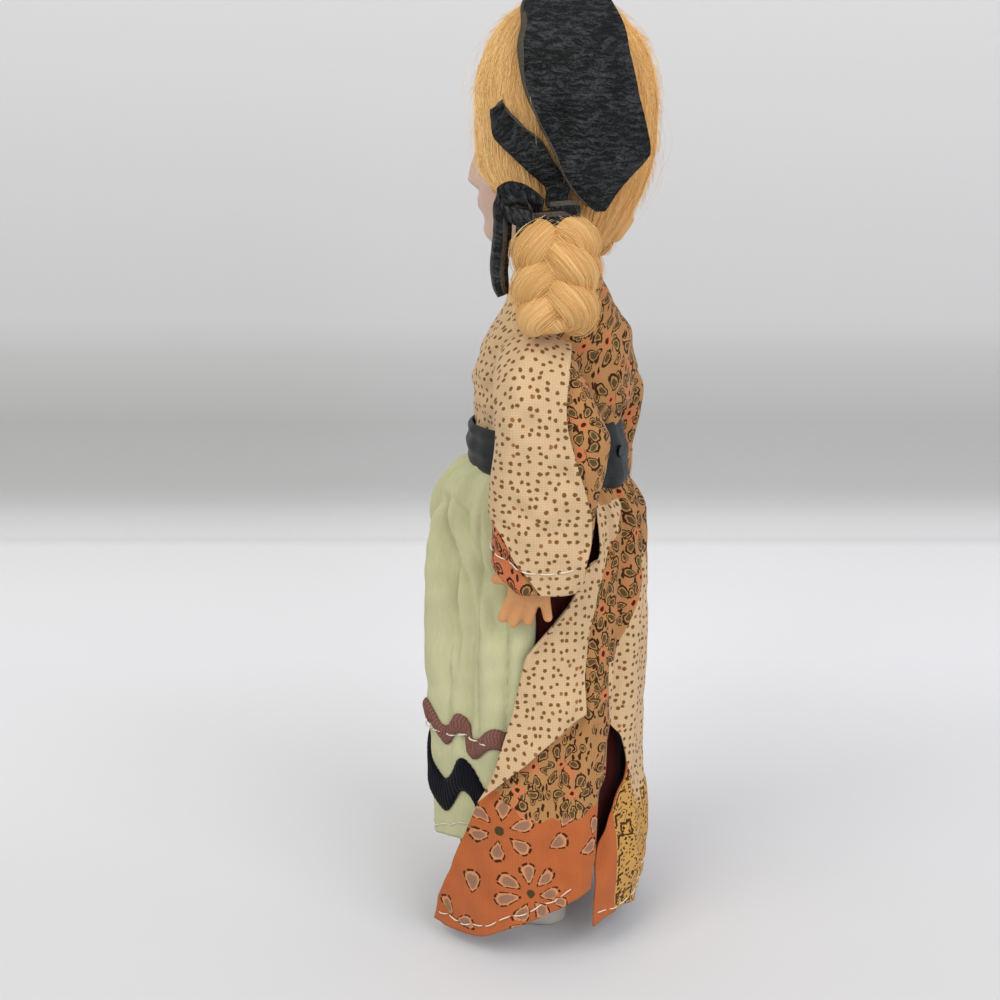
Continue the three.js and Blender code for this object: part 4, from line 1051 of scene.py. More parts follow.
@dataclass
class Apron:
    """The sage apron, gathered at the waist, with two rows of rickrack near its hem.

    Attributes:
        edge: (height, degrees from the front) of its side edges.
        hem_height: the hem's height at the front.
    """

    cotton: Material
    mauve: Material
    navy: Material
    thread: Material
    edge: Knots = ((16, 74), (31, 80), (46, 85), (60, 90), (72, 92), (84, 90), (95, 84), (108, 76))
    hem_height: float = 18.0

    def relief(self, angle: Array, height: Array) -> Array:
        """How far the cloth stands off its form: fine gathers, rolls by the modulus of a sine, and broad folds."""
        turn = np.radians(angle)
        gather = 1 - smooth(78, 97, height)
        fine = 0.7 * np.sin(turn * 26 + 2.2 * np.sin(turn * 3.0) + (height - 90) * 0.02)
        middling = 0.85 * np.sin(turn * 13 + 1.4 * np.sin(turn * 5) + 0.5)
        out = fine * (1 - gather) * (1 - 0.6 * smooth(99, 103, height))
        out = out + middling * smooth(44, 84, height) * (1 - smooth(97, 103, height))
        rolls = np.abs(np.sin(turn * 9 + 0.8 * np.sin(turn * 4 + 1) + (height - 60) * 0.008)) ** 0.5
        out = out + (2.3 * rolls - 1.7) * smooth(34, 66, height) * (1 - smooth(84, 102, height))
        for line, width, depth, low, high in (
            (((47, 55), (56, 57), (77, 55), (88, 38), (100, 21)), 4.5, -2.3, 42, 103),
            (((60, 50), (76, 44), (97, 30), (102, 28)), 3.2, -1.5, 58, 103),
            (((70, 74), (86, 61), (101, 33)), 4.0, -1.4, 66, 103),
            (((16, 2), (40, 4), (60, 6), (90, 6)), 6.5, -1.5, 12, 96),
            (((16, 26), (40, 30), (70, 30), (90, 18)), 11, 0.7, 10, 98),
            (((16, 68), (40, 74), (60, 74)), 9, 0.6, 10, 76),
            (((16, -24), (50, -26), (90, -16)), 10, 0.9, 10, 98),
            (((16, -46), (60, -50), (95, -26)), 5, -1.7, 14, 102),
            (((16, -70), (60, -66), (95, -48)), 5, -1.2, 30, 102),
        ):
            out = out + ridge(angle, height, line, width, depth, low, high)
        return out + 0.22 * waves(3, 16, 22, 5)(angle * 0.4, height)

    def point(self, angle: Array, height: Array, lift: Values = 0.0) -> Array:
        """A point of the apron at degrees from the front and a height, lifted off it by so many mm."""
        return APRON_FORM.at(np.radians(angle), height, self.relief(angle, height) + lift)

    def make(self) -> list[Piece]:
        """The apron, its two trims, and the stitches along the mauve trim and the hem."""
        share, rise = np.meshgrid(np.linspace(-1, 1, 220), np.linspace(0, 1, 130))
        hem = self.hem_height + 1.2 * np.sin(share * 4.2 + 0.6) + self.lifted(share)
        height = np.minimum(hem + rise * (WAIST_TOP - self.hem_height), WAIST_TOP)
        angle = share * track(self.edge)(height)
        points = self.point(angle, height)
        skin = Skin(points, {"cloth": cloth_map(points)})
        cloth = hang(build("apron_cloth", [skin], [self.cotton]), "torso", "sage_cotton", "apron")
        thicken(cloth, 0.4)
        mauve_height = 48.0
        mauve = self.rickrack("mauve_rickrack", "apron_mauve_trim", self.mauve, mauve_height, 4.4, 1.7, 9.5)
        navy = self.rickrack("navy_rickrack", "apron_navy_trim", self.navy, 35.5, 7.6, 3.2, 19.0)
        seams = [
            stitches("mauve_stitches", self.stitch_line(mauve_height - 0.6, 1.05, 0.55), self.thread, 0.17),
            stitches("apron_hem_stitches", self.stitch_line(self.hem_height + 3.4, 0.3, 0.35, True), self.thread, 0.13),
        ]
        declare(skin)
        for seam in seams:
            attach(seam, "torso")
        return [cloth, mauve, navy, *seams]

    def lifted(self, share: Array) -> Array:
        """How many mm the hem rises towards its side edges, where the share is 1."""
        return 6.5 * smooth(0.1, 0.8, np.abs(share))

    def stitch_line(self, height: float, lift: float, wander: float, hem: bool = False) -> Array:
        """Points along a seam round the apron, at about one height, or beside the hem."""
        share = np.linspace(-0.97, 0.97, 900)
        level = height + wander * np.sin(share * 9 + 1) + 0.2 * np.sin(share * 31) + hem * self.lifted(share)
        return self.point(share * track(self.edge)(level), level, lift)

    def rickrack(self, name: str, node: str, material: Material, height: float, width: float,
                 swing: float, pitch: float) -> Piece:
        """A zigzag braid: its middle swings by so many mm as a sine of the way round, and its section is a low arch."""
        share, aside = np.meshgrid(np.linspace(-0.985, 0.985, 700), np.linspace(-1, 1, 9))
        turn = share * float(track(self.edge)(height))
        way = turn * 0.41
        wave = swing * np.sin(2 * np.pi * way / pitch + 0.6 * np.sin(way * 0.3))
        point_up = 1 + 0.16 * np.sin(2 * np.pi * way / pitch) * aside
        level = height + wave + 0.9 * np.sin(way * 0.11 + 0.8) + aside * width / 2 * point_up
        lift = 0.35 + 0.75 * (1 - aside**4) + 0.1 * np.sin(way * 7 + aside * 5)
        points = self.point(turn, level, lift)
        piece = build(name, [Skin(points, {"cloth": cloth_map(points)})], [material])
        thicken(piece, 0.5)
        return hang(piece, "torso", name, node)


def stitches(name: str, line: Array, thread: Material, radius: float = 0.14) -> Piece:
    """Running stitches along a line of points.

    Args:
        name: the piece's name.
        line: the seam's points in mm, close together.
        thread: the thread's material.
        radius: the thread's, in mm.

    Returns:
        One object of short tubes. Each stitch follows the line and sinks into the cloth at its ends by
        the fourth power of the way from its middle.
    """
    length, gap = 3.3, 0.45  # mm of one stitch, and mm between two
    away = np.concatenate([[0], np.cumsum(np.linalg.norm(np.diff(line, axis=0), axis=-1))])
    count = int((away[-1] - length) / (length + gap))
    start = np.arange(count)[:, None] * (length + gap)
    share = np.linspace(0, 1, 7)
    at = start + share * length
    paths = np.stack([np.interp(at, away, line[:, k]) for k in range(3)], -1)
    outward = paths * np.array([1, 1, 0])
    outward /= np.linalg.norm(outward, axis=-1, keepdims=True)
    paths = paths - outward * (0.55 * (2 * share - 1) ** 4)[:, None]
    widths = np.broadcast_to(radius * np.sqrt(np.clip(1 - (2 * share - 1) ** 6, 0.02, 1)), paths.shape[:2])
    return build(name, tubes(paths, widths, 6, outward[:, 3]), [thread])


@dataclass
class Overskirt:
    """The printed outer skirt: two side panels with orange borders, a back panel, and two dotted flaps.

    Attributes:
        panel_edge: (height, degrees) of a side panel's front edge.
        hem: (degrees, height) of a side panel's lower edge, and border the same of its orange border's upper edge.
        seam: (height, degrees) of the seam and slit between a side panel and the back panel.
        back_edge: (height, degrees) of the back panel's own edge.
        flap_left: (degrees, height) down a flap's front edge, and flap_right down its back edge.
    """

    prints: Sequence[Material]
    thread: Material
    panel_edge: Knots = (
        (2, 38), (5.6, 41), (10.8, 45), (18.5, 53), (25.5, 59), (30.3, 64), (37.4, 70.5), (43, 80), (50, 87),
        (58, 93), (67, 101), (78, 118), (85, 127), (92, 133), (108, 138),
    )
    hem: Knots = (
        (38, 3.6), (56, 3.9), (68, 4.8), (83, 8.6), (94, 10.7), (109, 12.9), (117, 15), (123, 16.2), (131, 16.4),
    )
    border: Knots = ((60, 39.5), (72, 37), (92, 33), (103, 33.3), (121, 33.1), (138, 35.8))
    seam: Knots = (
        (10, 127), (16, 127), (25, 131), (31.4, 133), (35.6, 136), (39.3, 143), (49.8, 144), (62, 140), (73, 143),
        (84, 150), (95, 156), (108, 160),
    )
    back_edge: Knots = (
        (7, 130), (16, 131), (23.5, 134), (28, 140), (32.8, 146), (37.6, 155), (42.1, 156), (47.5, 152), (52, 144),
        (62, 137), (73, 140), (84, 147), (95, 153), (108, 157),
    )
    flap_left: Knots = (
        (133, 99.5), (129, 95.3), (128, 88.7), (122, 86.6), (120, 85.3), (110, 78.4), (93, 70.1), (89, 67.3),
        (84, 58.7), (83, 56.3), (79, 49), (75, 41.7), (70, 36.6),
    )
    flap_right: Knots = (
        (158, 101), (146, 94.4), (139, 89.6), (132, 84.5), (129, 80.7), (126, 75.6), (124, 70.7), (122, 64.2),
        (122, 56.1),
    )

    def relief(self, angle: Array, height: Array) -> Array:
        """How far the outer cloth stands off its form: a valley along the seam and soft folds elsewhere."""
        turned = np.degrees(np.arccos(np.clip(np.cos(np.radians(angle)), -1, 1)))
        out = np.zeros(np.broadcast(angle, height).shape)
        for line, width, depth, low, high in (
            (((10, 130), (30, 138), (50, 146), (84, 151), (100, 158)), 4.5, -1.6, 14, 104),
            (((5, 104), (40, 112), (90, 136)), 7, -0.9, -8, 100),
            (((5, 72), (40, 92), (60, 112)), 10, 0.6, -8, 66),
            (((5, 119), (40, 124), (80, 130)), 5, 0.7, -8, 100),
            (((5, 160), (60, 162), (100, 168)), 6.5, 0.8, -8, 101),
            (((5, 174), (60, 176), (100, 177)), 4.5, -1.1, -8, 101),
        ):
            out = out + ridge(turned, height, line, width, depth, low, high)
        gathers = 0.35 * np.sin(np.radians(angle) * 34 + np.sin(np.radians(angle) * 7)) * smooth(84, 98, height)
        return out + gathers * (1 - smooth(100, 104, height)) + 0.2 * waves(5, 16, 20, 5)(angle * 0.4, height)

    def point(self, angle: Array, height: Array, lift: Values = 0.0) -> Array:
        """A point of the outer skirt at degrees from the front, lifted off it by so many mm."""
        return OVERSKIRT_FORM.at(np.radians(angle), height, self.relief(angle, height) + lift)

    def panel(self) -> Skin:
        """The left panel: rows from the hem past the border's edge to the waist, columns from front edge to seam."""
        share, rise = np.meshgrid(np.linspace(0, 1, 130), np.linspace(0, 1, 150))
        split = 0.34  # share of the rows that the border takes
        start, end = 41 + 86 * share, 60 + 78 * share
        hem, border = track(self.hem)(start), track(self.border)(end) + 0.35 * np.sin(end * 0.5)
        above = border + (WAIST_TOP - border) * (rise - split) / (1 - split)
        height = np.where(rise < split, hem + (border - hem) * rise / split, above)
        front, back = track(self.panel_edge)(height), track(self.seam)(height)
        angle = front + (back - front) * share
        lift = 0.35 - 0.5 * smooth(0.9, 1, share) * smooth(50, 60, height)
        lift = lift + 0.5 * (1 - smooth(0.0, 0.06, share)) * (1 - smooth(30, 60, height))
        points = self.point(angle, height, lift)
        low = (rise[:-1, :-1] + rise[1:, 1:]) / 2 < split
        flat = unrolled(angle, height)
        return Skin(points, {"cloth": flat, **self.daisy_maps(flat)}, slots=np.where(low, Print.DAISY, Print.FLORAL))

    def daisy_maps(self, flat: Array) -> dict[str, Array]:
        """The maps "motif" and "kind" that DaisyCotton reads.

        Each daisy is (degrees, height, petals, reach in mm, turn), and a single petal is set by its own
        middle. Each face takes the daisy that is nearest by its reach, so that none is torn between two.
        """
        daisies = np.array([
            (79, 30.6, 6, 7.4, -0.42), (93, 16.9, 7, 7.4, -0.78), (65, 17.3, 1, 8.4, -1.57), (109, 28.2, 1, 7.6, -0.5),
            (50, 9.1, 1, 7.0, -1.9), (61, 7.0, 1, 7.0, -0.1), (114, 33.3, 1, 6.0, -1.0), (130, 31.0, 1, 6.5, -1.2),
            (126, 26.5, 1, 7.0, -0.4), (88, 8.6, 1, 6.0, 0.1), (110, 14.4, 1, 5.5, 0.3),
        ])
        count, reach = daisies[:, 2], daisies[:, 3]
        middles = unrolled(daisies[:, 0], daisies[:, 1])
        corners = at_corners(flat)
        miss = np.linalg.norm(corners.mean(2)[..., None, :] - middles, axis=-1)
        owner = (miss / (reach * np.where(count < 2, 0.4, 1))).argmin(-1)
        own = corners - middles[owner][:, :, None]
        turn = daisies[owner, 4][..., None]
        cosine, sine = np.cos(turn), np.sin(turn)
        motif = np.stack([own[..., 0] * cosine - own[..., 1] * sine, own[..., 0] * sine + own[..., 1] * cosine], -1)
        motif[..., 0] += (0.66 * reach * (count < 2))[owner][..., None]
        kind = np.stack([count[owner], reach[owner]], -1)[:, :, None]
        return {"motif": motif, "kind": np.broadcast_to(kind, motif.shape)}

    def back(self) -> Skin:
        """The back panel: an orange strip at its edge, mustard below, dots above, and the floral print at the top."""
        half = np.linspace(0, 1, 70)
        share, rise = np.meshgrid(np.concatenate([half, 2 - half[-2::-1]]), np.linspace(0, 1, 150))
        inner = np.where(share > 1, 2 - share, share)
        hem = 7.4 + 1.0 * np.sin(inner * 5)
        change = 41.5 - 14 * smooth(0.05, 0.95, inner)
        low, mid, wide = 0.3, 0.75, 0.22  # shares of the rows below the dots and the florals, and of the columns
        dotted = 65 + 22 * smooth(0.1, 1, inner)
        height = np.select(
            [rise < low, rise < mid],
            [hem + (change - hem) * rise / low, change + (dotted - change) * (rise - low) / (mid - low)],
            dotted + (WAIST_TOP - dotted) * (rise - mid) / (1 - mid),
        )
        edge = track(self.back_edge)(height)
        strip = np.maximum(145.5, edge + 0.6)
        beyond = strip + (180 - strip) * (inner - wide) / (1 - wide)
        angle = np.where(inner < wide, edge + (strip - edge) * inner / wide, beyond)
        angle = np.where(share > 1, 360 - angle, angle)
        under = -0.5 * (1 - smooth(0, 0.12, inner)) * smooth(50, 56, height)
        points = self.point(angle, height, under + 0.3)
        level = (rise[:-1, :-1] + rise[1:, 1:]) / 2
        in_strip = (inner[:-1, :-1] + inner[1:, 1:]) / 2 < wide
        kinds = (Print.FLORAL, Print.DOTTED, Print.DAISY)
        slots = np.select([level > mid, level > low, in_strip], kinds, Print.SQUARE)
        flat = unrolled(angle, height)
        edge_way = flat[..., 0] - np.radians(strip) * SKIRT_RADIUS
        motif = np.stack([np.where(share > 1, np.radians(360 - angle - strip) * SKIRT_RADIUS, edge_way), height], -1)
        petals_and_reach = np.broadcast_to(np.array([5.0, 6.0]), motif.shape)
        return Skin(points, {"cloth": flat, "motif": motif, "kind": petals_and_reach}, slots=slots)

    def flap(self) -> Skin:
        """The dotted flap from the back of the belt: its front edge is rolled and its lower edge stands off."""
        share, fall = np.meshgrid(np.linspace(0, 1, 90), np.linspace(0, 1, 130))
        left_angle, left_height = through(self.flap_left, fall)
        right_angle, right_height = through(self.flap_right, fall)
        angle = left_angle + (right_angle - left_angle) * share
        height = left_height + (right_height - left_height) * share + 2.0 * np.sin(np.pi * share) * smooth(0.7, 1, fall)
        rolled = np.exp(-(((left_height - 71) / 11) ** 2)) * (1 - smooth(0.0, 0.2, share))
        lift = 1.25 + 0.9 * smooth(0.86, 1, fall) + 1.9 * rolled * np.sqrt(np.clip(share / 0.07, 0, 1))
        lift = lift - 0.5 * smooth(0.93, 1, share) * (1 - smooth(0.8, 1, fall))
        points = self.point(angle - 1.5 * rolled, height, lift * smooth(-0.02, 0.12, fall))[::-1]
        return Skin(points, {"cloth": unrolled(angle, height)[::-1]}, slots=np.full((129, 89), Print.DOTTED))

    def make(self) -> list[Piece]:
        """The panels as one cut, the two flaps, and the topstitching along the hems."""
        panel, back, flap = self.panel(), self.back(), self.flap()
        pieces = [
            build(f"{side.word}_{name}", [Skin(mirror(skin.points, side), skin.maps, slots=skin.slots)], self.prints,
                  flipped=side is Side.RIGHT)
            for side in Side for name, skin in (("side_panel", panel), ("dotted_flap", flap))
        ]
        pieces.append(build("back_panel", [back], self.prints))
        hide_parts("overskirt")
        angle = 41 + 86 * np.linspace(0.02, 0.985, 500)
        hem = self.point(angle, track(self.hem)(angle) + 2.6 + 0.3 * np.sin(angle * 0.4), 0.75)
        seams = [stitches(f"{side.word}_hem_stitches", mirror(hem, side), self.thread) for side in Side]
        turn = np.linspace(132, 228, 500)
        seams.append(stitches("back_hem_stitches", self.point(turn, 9.6 + np.sin(turn * 0.2) * 0.5, 0.45), self.thread))
        for piece, skin in zip(pieces, (panel, flap, panel, flap, back)):
            thicken(hang(piece, "torso", "print_cotton"), 0.4)
            declare(skin)
        for seam in seams:
            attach(seam, "torso")
        return [*pieces, *seams]


@dataclass
class Bodice:
    """The blouse's body: dotted in front and floral behind, with a tuck above the belt."""

    prints: Sequence[Material]
    hem_height: float = 108.6
    split: float = 84.0  # degrees from the front to the side seam

    def relief(self, turn: Array, height: Array) -> Array:
        """Soft puffs, a tuck round the back at 116 mm, and creases that run up from the belt."""
        degrees = np.degrees(np.arccos(np.clip(np.cos(turn), -1, 1)))
        tuck = -0.9 * np.exp(-(((height - 116.4) / 1.0) ** 2)) * smooth(110, 140, degrees)
        roll = 0.5 * np.exp(-(((height - 119.2) / 2.0) ** 2)) * smooth(100, 140, degrees)
        pleats = 0.3 * np.sin(13 * turn + 2 * np.sin(3 * turn)) * (1 - smooth(112, 124, height))
        return tuck + roll + pleats + 0.28 * waves(8, 14, 14, 4)(degrees * 0.25, height)

    def make(self) -> Piece:
        """Rows run from the hem to the collar, whose height rises by (1 - cos a) / 2 from front to back."""
        columns = 240
        turn, rise = np.meshgrid(np.linspace(-np.pi, np.pi, columns, endpoint=False), np.linspace(0, 1, 90))
        top = 141 + 4.5 * (1 - np.cos(turn)) / 2
        height = self.hem_height + (top - self.hem_height) * rise
        points = BODICE_FORM.at(turn, height, self.relief(turn, height) * smooth(0, 0.08, rise))
        ring = np.degrees(np.abs(turn[0] + np.pi / columns))
        slots = np.broadcast_to(np.where(ring < self.split, Print.DOTTED, Print.FLORAL), (89, columns))
        skin = Skin(points, {"cloth": cloth_map(points, True)}, wrapped=True, slots=slots)
        piece = hang(build("bodice_cloth", [skin], self.prints), "torso", "print_cotton", "bodice")
        thicken(piece, 0.35)
        declare(skin)
        return piece


@dataclass
class Belt:
    """The wide satin belt with its pressed folds, lapped at the left of the back over a snap."""

    satin: Material
    bottom: float = 102.9
    top: float = 113.7

    def make(self) -> Piece:
        """Folds are long waves round the waist, 0.26 sin(2 pi (2.2 v + 0.25 sin(2 a) + 0.1)) mm, gone at both edges."""
        start = math.radians(152)
        turn = np.linspace(start, start + 2 * np.pi + math.radians(12), 260)
        turn, rise = np.meshgrid(turn, np.linspace(0, 1, 60))
        low, high = self.bottom + 2.2 * np.cos(turn), self.top - 0.7 * np.cos(turn)
        height = low + (high - low) * rise + 0.5 * np.sin(turn * 2 + 0.5) * (rise - 0.5)
        fold = 0.26 * np.sin(2 * np.pi * (2.2 * rise + 0.25 * np.sin(2 * turn) + 0.1)) * np.sin(np.pi * rise) ** 0.5
        crease = 0.3 * waves(21, 14, 9, 3)(turn * 16, height * 0.35)
        lap = 0.65 * smooth(start + 2 * np.pi - 0.1, start + 2 * np.pi + 0.02, turn)
        ends = -0.5 * (2 * rise - 1) ** 8
        points = BELT_FORM.at(turn, height, fold + crease * 0.25 + lap + ends)
        skin = Skin(points, {"cloth": cloth_map(points)})
        piece = hang(build("satin_sash", [skin], [self.satin]), "torso", "satin_belt", "belt")
        thicken(piece, 0.6)
        declare(skin)
        return piece


@dataclass
class Sleeve:
    """A wide sleeve: a floral tube from the armhole to the cuff under a dotted outer panel, with an orange corner.

    Attributes:
        thickness: mm from its inner side, which is at inner_x, to its outer side.
        cuff: the cuff's height.
        axis_y: the shoulder axis's place, with axis_height its height.
        rolled: the share of the way from the armhole over the shoulder that is rolled.
        front: (height, mm from the axis to the front edge), and back the same to the back edge.
        panel_back: (height, y) of the dotted panel's back edge, and panel_front of its front edge.
    """

    prints: Sequence[Material]
    thread: Material
    cap_radius: float = 8.5
    inner_x: float = 16.85
    thickness: float = 12.6
    cuff: float = 85.0
    axis_y: float = 1.0
    axis_height: float = 126.0
    rolled: float = 0.35
    front: Knots = ((85, 6.8), (97, 6.6), (106, 6.2), (119, 5), (126, 7))
    back: Knots = ((85, 10.3), (91, 12.5), (97, 13.5), (103, 14.1), (107, 15.0), (112, 16.0), (119, 16.2), (126, 11))
    panel_back: Knots = (
        (84, 9.9), (85.3, 10.3), (92.9, 12.0), (97.6, 12.6), (101.9, 12.5), (108.3, 11.5), (112.6, 10.5), (119, 8.9),
        (123.7, 7.6), (128.5, 6.2),
    )
    panel_front: Knots = (
        (84.6, 4.6), (86.5, 3.2), (90.1, 1.0), (91.9, -0.8), (97, -4.4), (101, -7.4), (106, -7.6), (128, -9),
    )

    def fallen(self, v: Array) -> tuple[Array, Array]:
        """The share of the straight fall from the shoulder to the cuff, and the height there."""
        fall = np.maximum((v - self.rolled) / (1 - self.rolled), 0)
        level = self.axis_height - self.cap_radius + 1
        return fall, level + (self.cuff - level) * fall

    def point(self, u: Array, v: Array, lift: Values = 0.0) -> Array:
        """A point of the left sleeve.

        Args:
            u: the share of the way round: 0 at the front edge, 0.5 at the back and 0.75 outermost.
            v: the share of the way from the armhole, over the shoulder and down to the cuff.
            lift: mm outwards, away from the sleeve's own middle.

        Returns:
            The armhole's circle stands upright at v = 0, is rolled over by 90 degrees where the fall starts,
            and falls as a flat tube whose front and back follow their curves.
        """
        turn = -2 * np.pi * u
        bend = np.minimum(v / self.rolled, 1)
        roll = bend * np.pi / 2
        forward, outward = np.cos(turn), np.sin(turn)
        fall, low = self.fallen(v)
        low = low + 5.2 * fall**2 * np.maximum(forward, 0)
        start = self.cap_radius - 0.6
        depth = np.where(forward > 0, start + (track(self.front)(low) - start) * bend,
                         start + (track(self.back)(low) - start) * bend)
        reach = (outward + 1) / 2
        size = 2 * self.cap_radius - 1
        x = self.inner_x + 1.4 * fall + self.thickness * reach * np.sin(roll)
        under = 4 * bend * (1 - fall) * (1 - reach)
        z = low - under + size * reach * np.cos(roll)
        drape = fall * 0.5 * np.sin(3 * turn) * np.maximum(outward, 0)
        soft = 0.35 * waves(31, 14, 16, 5)(depth * forward, z) + 0.3 * np.sin(forward * 5 + z * 0.16)
        off = lift + soft * smooth(0, 0.2, v)
        out, rise = off * np.sin(roll), off * np.cos(roll)
        x = x + drape + out * (2 * reach - 1)
        y = self.axis_y * (1 - bend) - (depth + lift * np.abs(forward)) * forward
        return np.stack([x, y, z + rise * (2 * reach - 1)], -1)

    def round_share(self, y: Array, v: Array) -> Array:
        """The u of the outer side's point at a place y: 1 - arccos(f) / 2 pi, with f the share of the depth."""
        _, low = self.fallen(v)
        depth = np.where(y < 0, track(self.front)(low), track(self.back)(low))
        return 1 - np.arccos(np.clip(-y / depth, -1, 1)) / (2 * np.pi)

    def make(self, side: Side) -> list[Piece]:
        """The tube, the dotted panel over it, and the topstitching near the cuff."""
        turned = side is Side.RIGHT
        u, v = np.meshgrid(np.linspace(0, 1, 150, endpoint=False), np.linspace(0, 1, 110))
        points = self.point(1 - u, v)
        corner = 0.72  # share of the way down from which the front half is orange
        fore = ((1 - u[:-1]) > 0.74) | ((1 - u[:-1]) < 0.3)
        slots = np.where((v[:-1] > corner) & fore, Print.ORANGE_FLORAL, Print.FLORAL)
        outermost = 37  # the column that faces outwards
        tube_skin = Skin(mirror(points, side), {"cloth": cloth_map(points, True, outermost)}, True, slots)
        tube = build(f"{side.word}_sleeve_tube", [tube_skin], self.prints, flipped=not turned)
        share, fall = np.meshgrid(np.linspace(0, 1, 80), np.linspace(0.03, 1, 120))
        _, height = self.fallen(fall)
        back_u = self.round_share(track(self.panel_back)(height), fall)
        back_u = np.where(fall < self.rolled, 0.62 + (back_u - 0.62) * smooth(0, self.rolled, fall), back_u)
        front_u = self.round_share(track(self.panel_front)(height), fall)
        front_u = front_u + (1.0 - front_u) * smooth(-5.6, -7.4, track(self.panel_front)(height))
        around = back_u + (front_u - back_u) * share
        edge = 0.5 * (1 - smooth(0, 0.08, share))
        panel = self.point(around, fall, 0.6 + edge)[::-1]
        line = self.point(np.full((120, 1), 0.75), fall[::-1, :1])
        flat = np.stack([panel[..., 1], np.broadcast_to(cloth_map(line)[..., 1], panel.shape[:2])], -1)
        over_skin = Skin(mirror(panel, side), {"cloth": flat}, slots=np.full((119, 79), Print.DOTTED))
        over = build(f"{side.word}_sleeve_panel", [over_skin], self.prints, flipped=turned)
        round_share = np.linspace(0.98, 0.53, 400)
        level = 0.9 + 0.008 * np.sin(round_share * 30)
        lift = 0.3 + 1.1 * smooth(-1.6, 0.4, self.point(round_share, level)[..., 1])
        seam = self.point(round_share, level, lift)
        sewn = stitches(f"{side.word}_cuff_stitches", mirror(seam, side), self.thread)
        arm = f"{side.word}_arm"
        thicken(hang(tube, arm, "print_cotton", f"{side.word}_sleeve"), 0.4)
        thicken(hang(over, arm, "print_cotton"), 0.4)
        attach(sewn, arm)
        declare(tube_skin)
        declare(over_skin)
        return [tube, over, sewn]


# Doll


def capsule(start: Array, end: Array, first: float, last: float) -> tuple[Array, Array]:
    """A rounded bar's path and its radii: from first to last, and at each end sqrt(1 - s squared) of that."""
    way = (end - start) / np.linalg.norm(end - start)
    cap, steps = np.linspace(1, 0, 6), 12
    before = start - way * first * cap[:, None]
    after = end + way * last * cap[::-1][:, None]
    middle = start + (end - start) * np.linspace(0, 1, steps)[1:-1, None]
    radii = np.concatenate([
        first * np.sqrt(1 - cap**2), np.linspace(first, last, steps)[1:-1], last * np.sqrt(1 - cap[::-1] ** 2),
    ])
    return np.concatenate([before, middle, after]), radii


@dataclass
class Arm:
    """A hard plastic arm with a curved wrist, a thumb that points forward and four fingers.

    Attributes:
        x: mm from the doll's middle to the arm's.
        bars: the two ends of each bar and its radii there: the arm, the palm, the fingers and the thumb.
    """

    plastic: Material
    x: float = 22.0
    bars: Sequence[tuple[float, ...]] = (
        (-1.2, 1, 126, 0, 1.6, 117, 4.9, 4.1), (0, 1.6, 117, 0.2, 1.8, 106, 4.1, 3.7),
        (0.2, 1.8, 106, 0.4, 0.2, 97, 3.6, 3.2), (0.4, 0.2, 97, 0.5, -0.8, 88.5, 3.2, 2.5),
        (0.6, -1.9, 86.5, 0.7, -2.3, 82.2, 2.1, 1.75), (0.7, -0.4, 86.5, 0.8, -0.6, 81.6, 2.2, 1.8),
        (0.6, 1.2, 86.5, 0.7, 1.6, 81.6, 2.1, 1.75), (0.4, 2.4, 86, 0.4, 3.2, 82.2, 1.8, 1.55),
        (0.7, -2.9, 81.6, 0.1, -5.3, 76.9, 1.32, 1.1), (0.8, -0.9, 81.2, 0.2, -3, 76, 1.36, 1.12),
        (0.7, 1.3, 81.4, 0.2, 0, 76.6, 1.32, 1.08), (0.4, 3.4, 81.8, 0.3, 4.1, 77.6, 1.2, 0.98),
        (0.3, -2.6, 85.8, -0.4, -5, 85, 1.7, 1.3), (-0.4, -5, 85, -1, -6.9, 84.6, 1.25, 1.02),
    )

    def make(self, side: Side) -> Piece:
        """The bars in one smooth skin: a voxel remesh of 0.3 mm, then rounds of smoothing, both applied."""
        middle, skins = np.array([self.x, 0, 0]), []
        for bar in self.bars:
            path, radius = capsule(middle + bar[:3], middle + bar[3:6], *bar[6:])
            ring = tubes(path[None], radius[None], 18, np.array([1.0, 0, 0]))[0]
            skins.append(Skin(mirror(ring.points, side), ring.maps, True))
        piece = build(f"{side.word}_plastic_arm", skins, [self.plastic], side is Side.RIGHT, merged=True)
        piece.modifiers.new("melt", "REMESH").voxel_size = 0.3 / 1000
        smoothing = piece.modifiers.new("even", "SMOOTH")
        smoothing.factor, smoothing.iterations = 0.5, 5
        final = bpy.data.meshes.new_from_object(piece.evaluated_get(bpy.context.evaluated_depsgraph_get()))
        piece.modifiers.clear()
        piece.data = final
        final.shade_smooth()
        return hang(piece, f"{side.word}_arm", "skin_plastic", f"{side.word}_arm")


HEAD_FORM = Form(
    ((141, 5.2, 5.2, 5.6), (145, 5.6, 5.4, 6.6), (148, 8.2, 9, 9.6), (151, 11.2, 12.2, 12.6), (155, 13.8, 12.7, 15),
     (160, 15.4, 13, 16.8), (166, 16.3, 13.1, 17.8), (172, 16.5, 13.2, 18.3), (180, 16.2, 12.8, 18),
     (187, 13.8, 10.4, 15.6), (192, 9.4, 6.6, 11), (194.5, 5.2, 3.2, 6.4), (195.5, 1.6, 0.8, 2.4))
)
EYE_X, EYE_Y, EYE_HEIGHT, EYE_RADIUS = 6.3, -8.2, 166.5, 4.4  # mm


